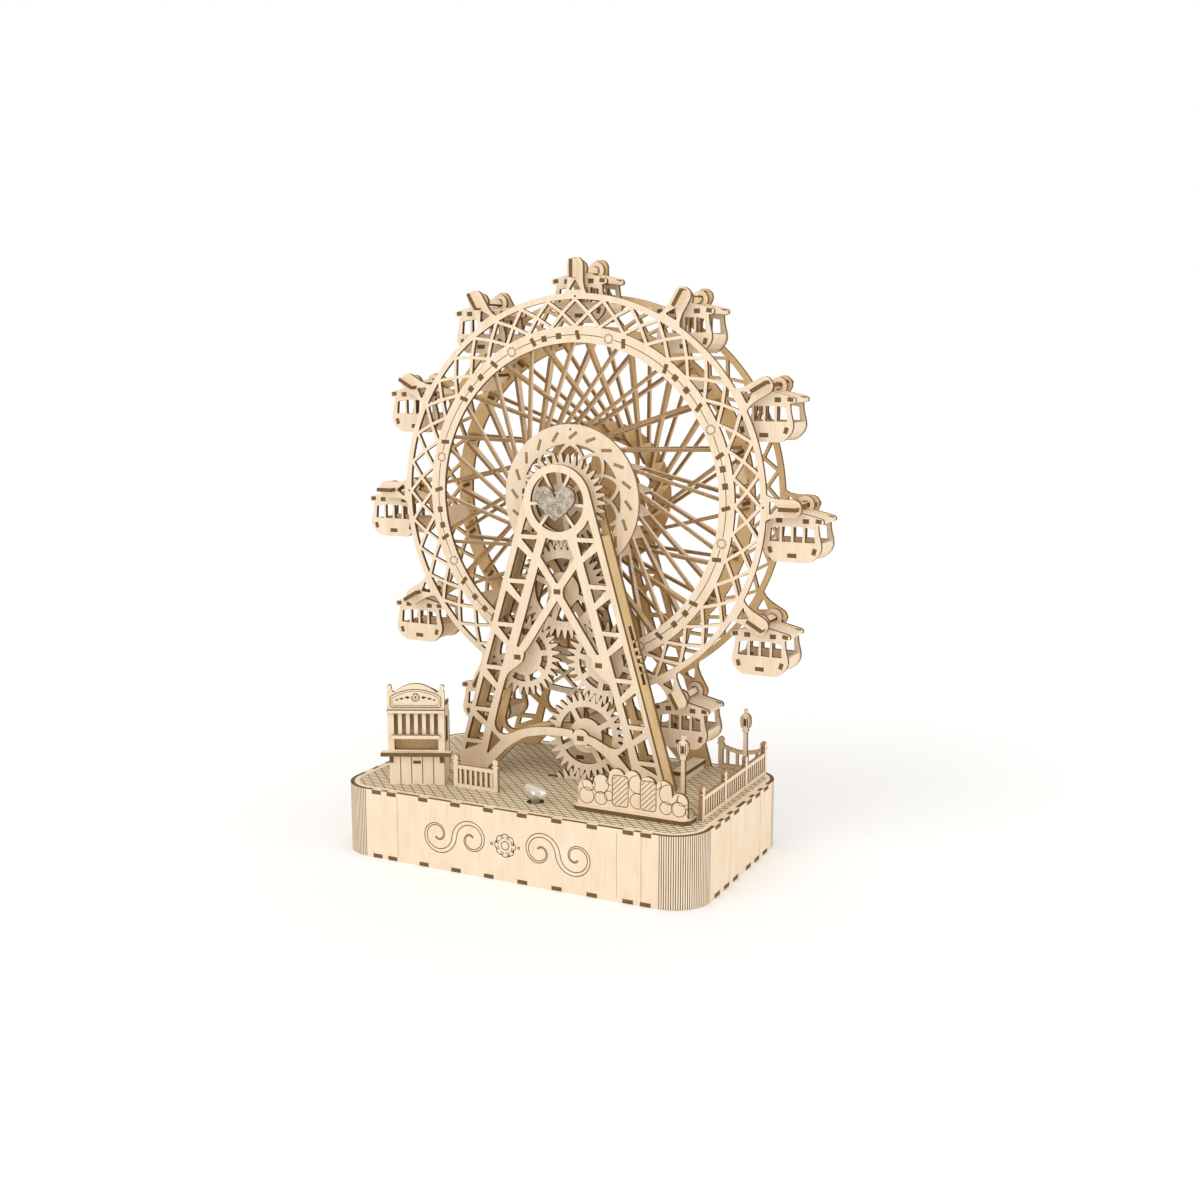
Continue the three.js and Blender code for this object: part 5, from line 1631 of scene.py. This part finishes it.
def fence_post(sizes):
    """A post's outline about its own middle: shaft, collar and ball."""
    half = sizes.post / 2
    ball = half * 1.3
    neck = sizes.post_height - 2 * ball
    collar = 0.8 * mm
    ease = 0.2 * mm
    side = [(half, 0), (half, neck - collar - ease), (half * 1.5, neck - collar),
            (half * 1.5, neck - ease / 2), (half * 0.5, neck + ease)]
    return side + arc(ball, 140, -140, 16, 0, sizes.post_height - ball) + mirrored(side)


def fence_run(sizes, reach, posts, balusters, arched=False):
    """A fence in its own frame, from 0 to reach along X: posts, two rails and balusters."""
    part = bmesh.new()
    bay = reach / (posts - 1)
    inside = sizes.post / 2 * 0.8
    wide = sizes.baluster / 2
    rails, bars = standing(-FENCE_RAIL / 2), standing(-FENCE_BALUSTER / 2)

    def top_at(x):
        return sizes.fence + (FENCE_RISE - FENCE_DIP * math.sin(math.pi * x / reach) if arched else 0)

    for i in range(posts):
        plate(part, [moved(fence_post(sizes), i * bay, 0)], standing(-SHEET / 2))
    for i in range(posts - 1):
        start, end = i * bay + inside, (i + 1) * bay - inside
        steps = 12 if arched else 1
        tops = [(x, top_at(x)) for x in (start + (end - start) * k / steps for k in range(steps + 1))]
        rail = tops + [(x, z - sizes.rail) for x, z in reversed(tops)]
        for outline in (rail, rectangle(start, end, 0, sizes.rail)):
            plate(part, [outline], rails, FENCE_RAIL)
        for k in range(balusters):
            x = start + (end - start) * (k + 0.5) / balusters
            baluster = rectangle(x - wide, x + wide, sizes.rail / 2, top_at(x) - sizes.rail / 2)
            plate(part, [baluster], bars, FENCE_BALUSTER)
    return part


# The fences: CAD part, place on the deck, heading, length, posts, balusters in a bay, and whether arched
FENCES = [
    ("left_fence", (-40.2 * mm, -34.1 * mm), 0, 22.2 * mm, 2, 7, False),
    ("right_fence", (86.4 * mm, -30.3 * mm), 90, 81.6 * mm, 4, 9, False),
    ("back_fence", (62.6 * mm, 53.6 * mm), 0, 22.6 * mm, 2, 4, True),
]


class MUSICBOX_OT_fences(bpy.types.Operator):
    """Build the three fences on the deck, with ball finials on their posts"""

    bl_idname = "music_box.fences"
    bl_label = "Fences"

    def execute(self, context):
        sizes = context.scene.music_box_trim
        materials = plywood("basswood_veneer", "toasted_edge")[:2]
        for name, (x, y), heading, reach, posts, balusters, arched in FENCES:
            part = fence_run(sizes, reach, posts, balusters, arched)
            bmesh.ops.transform(part, matrix=at(x, y, DECK_TOP) @ spun(heading), verts=part.verts)
            piece(f"{name}_cut", part, "stand", materials, [name])
        return {"FINISHED"}


# Lamps
LAMPS = [("front_lamp", 71 * mm, -15 * mm), ("back_lamp", 79 * mm, 44.8 * mm)]
LAMP_SHEET = 1.8 * mm
LANTERN = 10.4 * mm
LAMP_BALL = 0.9 * mm

# A leaf's outline up to its ball. Widths are shares of the post and then of the lantern, and heights are from
# the deck and then from the lantern's foot
LAMP_FOOT = [(2.2, 0), (2, 1.4 * mm), (1.2, 2.6 * mm), (1, 4 * mm)]
LAMP_COLLAR = [(0.85, -1.4 * mm), (1.4, -1 * mm), (1.4, -0.4 * mm)]
LAMP_HEAD = [(0.5, 0.3 * mm), (0.86, 1.6 * mm), (1, 3.5 * mm), (1, 5.2 * mm), (0.9, 6.6 * mm),
             (0.66, 7.5 * mm), (0.4, 8 * mm)]
LAMP_NECK = 8.8 * mm

# Drops from the lamp's top to the two glass panes, to the line round them and to the narrow side's glass
PANES = (8.7 * mm, 4.5 * mm)
PANE_LINE = (9.2 * mm, 4 * mm)
SIDE_PANE = (8.4 * mm, 4.8 * mm)
SIDE_PANE_HALF = 0.7 * mm
PANE_BAR = 0.25 * mm
PANE_LINE_WIDTH = 0.3 * mm


def lamp_leaf(sizes, share):
    """One flat leaf of a lamp: foot, post, rounded lantern, cap and ball. A share narrows its lantern."""
    post = sizes.lamp_post / 2
    head = sizes.lamp_head / 2 * share
    foot = sizes.lamp_height - LANTERN
    side = [(post * wide, up) for wide, up in LAMP_FOOT]
    side += [(post * wide, foot + up) for wide, up in LAMP_COLLAR]
    side += [(head * wide, foot + up) for wide, up in LAMP_HEAD]
    side.append((LAMP_BALL * 0.6, foot + LAMP_NECK))
    return [whole(side + arc(LAMP_BALL, 140, 0, 7, 0, sizes.lamp_height - LAMP_BALL))]


class MUSICBOX_OT_lamps(bpy.types.Operator):
    """Build the two lamps, each of two crossed leaves"""

    bl_idname = "music_box.lamps"
    bl_label = "Lamps"

    def front_leaf(self, part, sizes, place):
        leaf = place @ standing(-LAMP_SHEET / 2, LAMP_SHEET)
        plate(part, lamp_leaf(sizes, 1), leaf, LAMP_SHEET)
        low, high = (sizes.lamp_height - drop for drop in PANES)
        pane = rectangle(PANE_BAR, sizes.lamp_head * 0.25, low, high)
        engrave(part, [pane], leaf, LAMP_SHEET)
        engrave(part, [mirrored(pane)], leaf, LAMP_SHEET)
        border = [(sizes.lamp_head * 0.4, sizes.lamp_height - drop) for drop in PANE_LINE]
        engrave_line(part, border + mirrored(border), PANE_LINE_WIDTH, leaf, True, LAMP_SHEET)

    def cross_leaf(self, part, sizes, place, share=0.5):
        leaf = place @ spun(90) @ standing(-LAMP_SHEET / 2, LAMP_SHEET)
        plate(part, lamp_leaf(sizes, share), leaf, LAMP_SHEET, FACE, FACE)
        low, high = (sizes.lamp_height - drop for drop in SIDE_PANE)
        pane = rectangle(-SIDE_PANE_HALF, SIDE_PANE_HALF, low, high)
        engrave(part, [pane], place @ standing(-sizes.lamp_head / 2 * share))

    def execute(self, context):
        sizes = context.scene.music_box_trim
        for name, x, y in LAMPS:
            part = bmesh.new()
            place = at(x, y, DECK_TOP)
            self.front_leaf(part, sizes, place)
            self.cross_leaf(part, sizes, place)
            deck_piece(f"{name}_cut", part, name)
        return {"FINISHED"}


# Bush sign, from its left foot: the humps' heights as shares of the tallest, each drawn bush's
# middle and radius, and each board's middle, half width and half height
BUSH_LOW, BUSH_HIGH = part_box("bush_sign")
HUMPS = (0.62, 0.8, 1, 1, 0.9, 0.86, 0.6)
BUSHES = [(x * mm, y * mm, radius * mm) for x, y, radius in (
    (4.2, 4.4, 3.8), (5.4, 10, 3.2), (11.6, 4, 3.1), (11.2, 10.6, 4.3), (15.6, 5.6, 2.3), (30, 12.8, 4.2),
    (30, 5, 3.6), (45.4, 10.2, 4.5), (44.2, 3.8, 3), (50.4, 4, 3.4), (52.4, 8.6, 2.7), (56, 3.2, 2.2),
    (16.6, 13.4, 2.6), (39.6, 14.2, 2.2))]
BOARDS = [(21.4 * mm, 8.6 * mm, 4 * mm, 7.3 * mm), (35.4 * mm, 8.2 * mm, 3.9 * mm, 6.9 * mm)]
BOARD_CORNER = 1.6 * mm
BOARD_MARGIN = 0.45 * mm

# How far the drawn bushes stay off the sign's foot and its cut edge
BUSH_FOOT = 0.3 * mm
BUSH_EDGE = 0.5 * mm

# How far the platform's lid stands out over its box
PLATFORM_LEDGE = 0.8 * mm


def bush_outline():
    """The cut outline of the bushes: a row of round humps on a straight foot."""
    width = BUSH_HIGH.x - BUSH_LOW.x
    height = BUSH_HIGH.z - BUSH_LOW.z
    bay = width / len(HUMPS)
    points = [(width, 0), (0, 0)]
    for i, share in enumerate(HUMPS):
        radius = bay / 2
        start = -90 if i == 0 else -66
        end = 90 if i == len(HUMPS) - 1 else 66
        points += arc(radius, start, end, 12, (i + 0.5) * bay, share * height - radius)
    return points


def bush_top(x):
    """How high the bushes stand at a place along them."""
    bay = (BUSH_HIGH.x - BUSH_LOW.x) / len(HUMPS)
    index = min(len(HUMPS) - 1, max(0, int(x / bay)))
    away = x - (index + 0.5) * bay
    height = HUMPS[index] * (BUSH_HIGH.z - BUSH_LOW.z)
    return height - bay / 2 + math.sqrt(max(0, (bay / 2) ** 2 - away ** 2))


def in_board(x, y):
    return any(abs(x - board_x) < half and abs(y - board_y) < tall for board_x, board_y, half, tall in BOARDS)


def bush_rings(x, y, radius):
    """The stretches of a bush's circle that lie on the sign and clear of its boards."""
    rings = [[]]
    for clock in range(0, 361, 10):
        point = polar(radius, clock, x, y)
        if in_board(*point) or not BUSH_FOOT <= point[1] <= bush_top(point[0]) - BUSH_EDGE:
            rings.append([])
        else:
            rings[-1].append(point)
    return [ring for ring in rings if len(ring) > 2]


def hatching(half, tall, spacing):
    """Strokes at 45 degrees that fill a board about the origin, from its half width and half height."""
    strokes = []
    reach = -half - tall + spacing
    while reach < half + tall - spacing:
        left = max(-half, reach - tall)
        right = min(half, reach + tall)
        if right - left > spacing * 0.6:
            strokes.append([(left, left - reach), (right, right - reach)])
        reach += spacing * math.sqrt(2)
    return strokes


class MUSICBOX_OT_bushes(bpy.types.Operator):
    """Build the row of bushes with its two engraved boards, its base plate and the boarding platform"""

    bl_idname = "music_box.bushes"
    bl_label = "Bushes and platform"

    def bushes(self, sizes):
        part = bmesh.new()
        place = at(BUSH_LOW.x, 0, BUSH_LOW.z) @ standing(BUSH_LOW.y)
        plate(part, [bush_outline()], place)
        width = sizes.bush_line
        for x, y, half, tall in BOARDS:
            board = moved(rounded_rectangle(half, tall, BOARD_CORNER, 5), x, y)
            engrave_line(part, board, width * 1.2, place, closed=True)
            for stroke in hatching(half - BOARD_MARGIN, tall - BOARD_MARGIN, sizes.hatching):
                engrave_line(part, moved(stroke, x, y), width * 0.9, place)
        for x, y, radius in BUSHES:
            for ring in bush_rings(x, y, radius):
                engrave_line(part, ring, width, place)
        deck_piece("bushes", part, "bush_sign")

    def foot(self):
        low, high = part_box("bush_sign_base")
        part = bmesh.new()
        curl = (high.y - low.y) / 2 * 0.9
        end = [(high.x, high.y), *arc(curl, 90, 180, 8, high.x - curl, low.y + curl)]
        left = [(low.x + high.x - x, y) for x, y in reversed(end)]
        plate(part, [end + left], lying(low.z), high.z - low.z)
        deck_piece("bushes_foot", part, "bush_sign_base", "level_veneer")

    def platform(self):
        low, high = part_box("boarding_platform")
        part = bmesh.new()
        body = rectangle(low.x + PLATFORM_LEDGE, high.x - PLATFORM_LEDGE,
                         low.y + PLATFORM_LEDGE, high.y - PLATFORM_LEDGE)
        plate(part, [body], lying(low.z), high.z - low.z - SHEET, FACE, FACE)
        plate(part, [rectangle(low.x, high.x, low.y, high.y)], lying(high.z - SHEET))
        deck_piece("platform_box", part, "boarding_platform", "level_veneer")

    def execute(self, context):
        self.bushes(context.scene.music_box_trim)
        self.foot()
        self.platform()
        return {"FINISHED"}


# Heart
def bezier(points, steps):
    """A cubic curve from its first point towards its last, which is left to the next curve."""
    result = []
    for i in range(steps):
        t = i / steps
        weights = ((1 - t) ** 3, 3 * t * (1 - t) ** 2, 3 * t * t * (1 - t), t ** 3)
        result.append(tuple(sum(w * p[axis] for w, p in zip(weights, points)) for axis in (0, 1)))
    return result


def heart_outline(half, low, high):
    """A heart of this half width about the axle, between two heights."""
    dip = high - half * 0.57
    lobe = half * 0.56
    shoulder = (half * 0.88, high * 0.74)
    flank = (half * 0.66, low * 0.38)
    side = bezier([(0, dip), (lobe * 0.3, high * 1.02), (lobe * 1.1, high * 1.12), shoulder], 10)
    side += bezier([shoulder, (half * 1.1, high * 0.42), (half * 0.98, low * 0.05), flank], 8)
    side += bezier([flank, (half * 0.44, low * 0.66), (half * 0.16, low * 0.82), (0, low)], 8)
    return side + [(0, low)] + mirrored(side[1:])


class MUSICBOX_OT_heart(bpy.types.Operator):
    """Build the stippled heart that covers the end of the axle"""

    bl_idname = "music_box.heart"
    bl_label = "Heart"

    def execute(self, context):
        low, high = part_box("heart_plate")
        outline = heart_outline((high.x - low.x) / 2, low.z - WHEEL_Z, high.z - WHEEL_Z)
        thickness = high.y - low.y
        part = bmesh.new()
        plate(part, [outline], lying(WHEEL_Z) @ standing(low.y, thickness), thickness)
        materials = plywood("stippled_heart")[:2]
        piece("heart_cover", part, "stand", materials, ["heart_plate"])
        return {"FINISHED"}


# The key's wing: half its length, its height, thickness, rounded edge and heading in degrees
WING = 7.9 * mm
WING_HEIGHT = 4.1 * mm
WING_SHEET = 2.9 * mm
WING_EDGE = 0.6 * mm
WING_HEADING = -30

# The key's stem: its radius, then radius and height over the wing's foot up the collar
STEM = 2 * mm
STEM_RINGS = [(2 * mm, -0.2 * mm), (2.3 * mm, 0.2 * mm), (2.3 * mm, 1.4 * mm), (1.5 * mm, 2.2 * mm)]


class MUSICBOX_OT_key(bpy.types.Operator):
    """Build the winding key: a chrome stem and a flat wing with round ends"""

    bl_idname = "music_box.key"
    bl_label = "Winding key"

    def stem(self, low, wing_foot, middle):
        part = bmesh.new()
        side = [(STEM, low)] + [(radius, wing_foot + up) for radius, up in STEM_RINGS]
        profile = [(0, low), *side, (0, side[-1][1])]
        corners = [part.verts.new((x, 0, z)) for x, z in profile]
        edges = [part.edges.new(pair) for pair in zip(corners, corners[1:])]
        bmesh.ops.spin(part, geom=corners + edges, cent=(0, 0, 0), axis=(0, 0, 1),
                       angle=math.radians(360), steps=40, use_merge=True, use_duplicate=False)
        bmesh.ops.remove_doubles(part, verts=part.verts, dist=WELD)
        bmesh.ops.recalc_face_normals(part, faces=part.faces)
        bmesh.ops.translate(part, vec=(middle.x, middle.y, 0), verts=part.verts)
        for face in part.faces:
            face.smooth = abs(face.normal.z) < 0.7
        piece("key_stem", part, "key", [finishes()["polished_chrome"]], ["winding_key"])

    def wing(self, wing_foot, middle):
        part = bmesh.new()
        curl = WING_HEIGHT / 2
        side = arc(curl, 180, 0, 14, WING - curl, WING_HEIGHT - curl)
        place = at(middle.x, middle.y, wing_foot) @ spun(WING_HEADING) @ standing(-WING_SHEET / 2, WING_SHEET)
        plate(part, [side + mirrored(side)], place, WING_SHEET, FACE, FACE)
        sharp = [edge for edge in part.edges if edge.calc_face_angle(0) > math.radians(60)]
        bmesh.ops.bevel(part, geom=sharp, offset=WING_EDGE, offset_type="OFFSET", affect="EDGES",
                        segments=4, profile=0.5, material=-1)
        for face in part.faces:
            face.smooth = abs(face.normal.z) < 0.999
        piece("key_wing", part, "key", [finishes()["polished_chrome"]])

    def execute(self, context):
        low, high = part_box("winding_key")
        middle = middle_of("winding_key")
        self.stem(low.z, high.z - WING_HEIGHT, middle)
        self.wing(high.z - WING_HEIGHT, middle)
        return {"FINISHED"}


# The warm light of the room, as linear colour and strength, and two soft suns: strength, width and direction
ROOM = (1, 0.99, 0.975, 1)
ROOM_LIGHT = 0.9
LIGHTS = [("left_light", 0.56, 40, (0.4, 0.8, -0.7)), ("right_light", 0.46, 60, (-0.85, 0.3, -0.45))]
SENSOR = 36


class MUSICBOX_OT_stage(bpy.types.Operator):
    """Build the plain floor, the soft light, the pale background and the camera"""

    bl_idname = "music_box.stage"
    bl_label = "Stage"

    def floor(self, scene, sizes):
        part = bmesh.new()
        bmesh.ops.create_grid(part, x_segments=1, y_segments=1, size=sizes.floor_size / 2)
        mesh = bpy.data.meshes.new("floor")
        part.to_mesh(mesh)
        part.free()
        # Matt white card
        tree, bsdf = shader("white_card")
        feed(tree, bsdf, {"Base Color": (*sizes.floor, 1), "Roughness": 0.9, "Specular IOR Level": 0.0})
        mesh.materials.append(finishes()["white_card"])
        floor = bpy.data.objects.new("floor", mesh)
        scene.collection.objects.link(floor)

    def background(self, scene):
        """Lights the scene with the room's warm light, and shows plain white behind it."""
        scene.world = bpy.data.worlds.new("pale_room")
        scene.world.use_nodes = True
        tree = scene.world.node_tree
        tree.nodes.clear()
        room = add_node(tree, "Background", inputs={"Color": ROOM, "Strength": ROOM_LIGHT})
        white = add_node(tree, "Background", inputs={"Color": (1, 1, 1, 1), "Strength": 1.0})
        seen = add_node(tree, "LightPath", output="Is Camera Ray")
        surface = add_node(tree, "MixShader", inputs=(seen, room, white))
        add_node(tree, "OutputWorld", inputs={"Surface": surface})

    def light(self, scene, name, energy, angle, towards):
        lamp = bpy.data.lights.new(name, "SUN")
        lamp.energy = energy
        lamp.angle = math.radians(angle)
        item = bpy.data.objects.new(name, lamp)
        item.rotation_euler = Vector(towards).to_track_quat("-Z", "Y").to_euler()
        scene.collection.objects.link(item)

    def camera(self, scene, sizes):
        camera = bpy.data.cameras.new("camera")
        camera.lens = sizes.lens
        camera.sensor_width = SENSOR
        item = bpy.data.objects.new("camera", camera)
        item.location = sizes.camera
        item.rotation_euler = (math.pi / 2 - sizes.pitch, 0, sizes.yaw)
        scene.collection.objects.link(item)
        scene.camera = item

    def execute(self, context):
        scene = context.scene
        sizes = scene.music_box_stage
        self.floor(scene, sizes)
        self.background(scene)
        for name, energy, angle, towards in LIGHTS:
            self.light(scene, name, energy, angle, towards)
        self.camera(scene, sizes)
        scene.view_settings.view_transform = "Standard"
        return {"FINISHED"}


class MUSICBOX_PT_panel(bpy.types.Panel):
    """The steps that dress the music box, in order"""

    bl_idname = "MUSICBOX_PT_panel"
    bl_label = "Ferris wheel music box"
    bl_space_type = "VIEW_3D"
    bl_region_type = "UI"
    bl_category = "Music Box"

    def draw(self, context):
        layout = self.layout
        for operator in OPERATORS:
            layout.operator(operator.bl_idname)
        for name in PROPERTIES:
            group = getattr(context.scene, name)
            box = layout.box()
            box.label(text=name.replace("_", " "))
            for key in group.bl_rna.properties.keys():
                if key not in ("rna_type", "name"):
                    box.prop(group, key)


PROPERTIES = {
    "music_box_colours": MusicBoxColours,
    "music_box_base": MusicBoxBase,
    "music_box_wheel": MusicBoxWheel,
    "music_box_tower": MusicBoxTower,
    "music_box_cabin": MusicBoxCabin,
    "music_box_booth": MusicBoxBooth,
    "music_box_trim": MusicBoxTrim,
    "music_box_stage": MusicBoxStage,
}
OPERATORS = [
    MUSICBOX_OT_materials, MUSICBOX_OT_base, MUSICBOX_OT_rims, MUSICBOX_OT_spokes, MUSICBOX_OT_tower,
    MUSICBOX_OT_gears, MUSICBOX_OT_cabins, MUSICBOX_OT_booth, MUSICBOX_OT_fences, MUSICBOX_OT_lamps,
    MUSICBOX_OT_bushes, MUSICBOX_OT_heart, MUSICBOX_OT_key, MUSICBOX_OT_stage,
]


def register():
    for group in PROPERTIES.values():
        bpy.utils.register_class(group)
    for name, group in PROPERTIES.items():
        setattr(bpy.types.Scene, name, bpy.props.PointerProperty(type=group))
    for operator in OPERATORS:
        bpy.utils.register_class(operator)
    bpy.utils.register_class(MUSICBOX_PT_panel)


def unregister():
    bpy.utils.unregister_class(MUSICBOX_PT_panel)
    for operator in reversed(OPERATORS):
        bpy.utils.unregister_class(operator)
    for name in reversed(PROPERTIES):
        delattr(bpy.types.Scene, name)
    for group in reversed(PROPERTIES.values()):
        bpy.utils.unregister_class(group)


def main():
    register()
    for operator in OPERATORS:
        step = operator.bl_idname.removeprefix("music_box.")
        getattr(bpy.ops.music_box, step)()


if __name__ == "__main__":
    main()
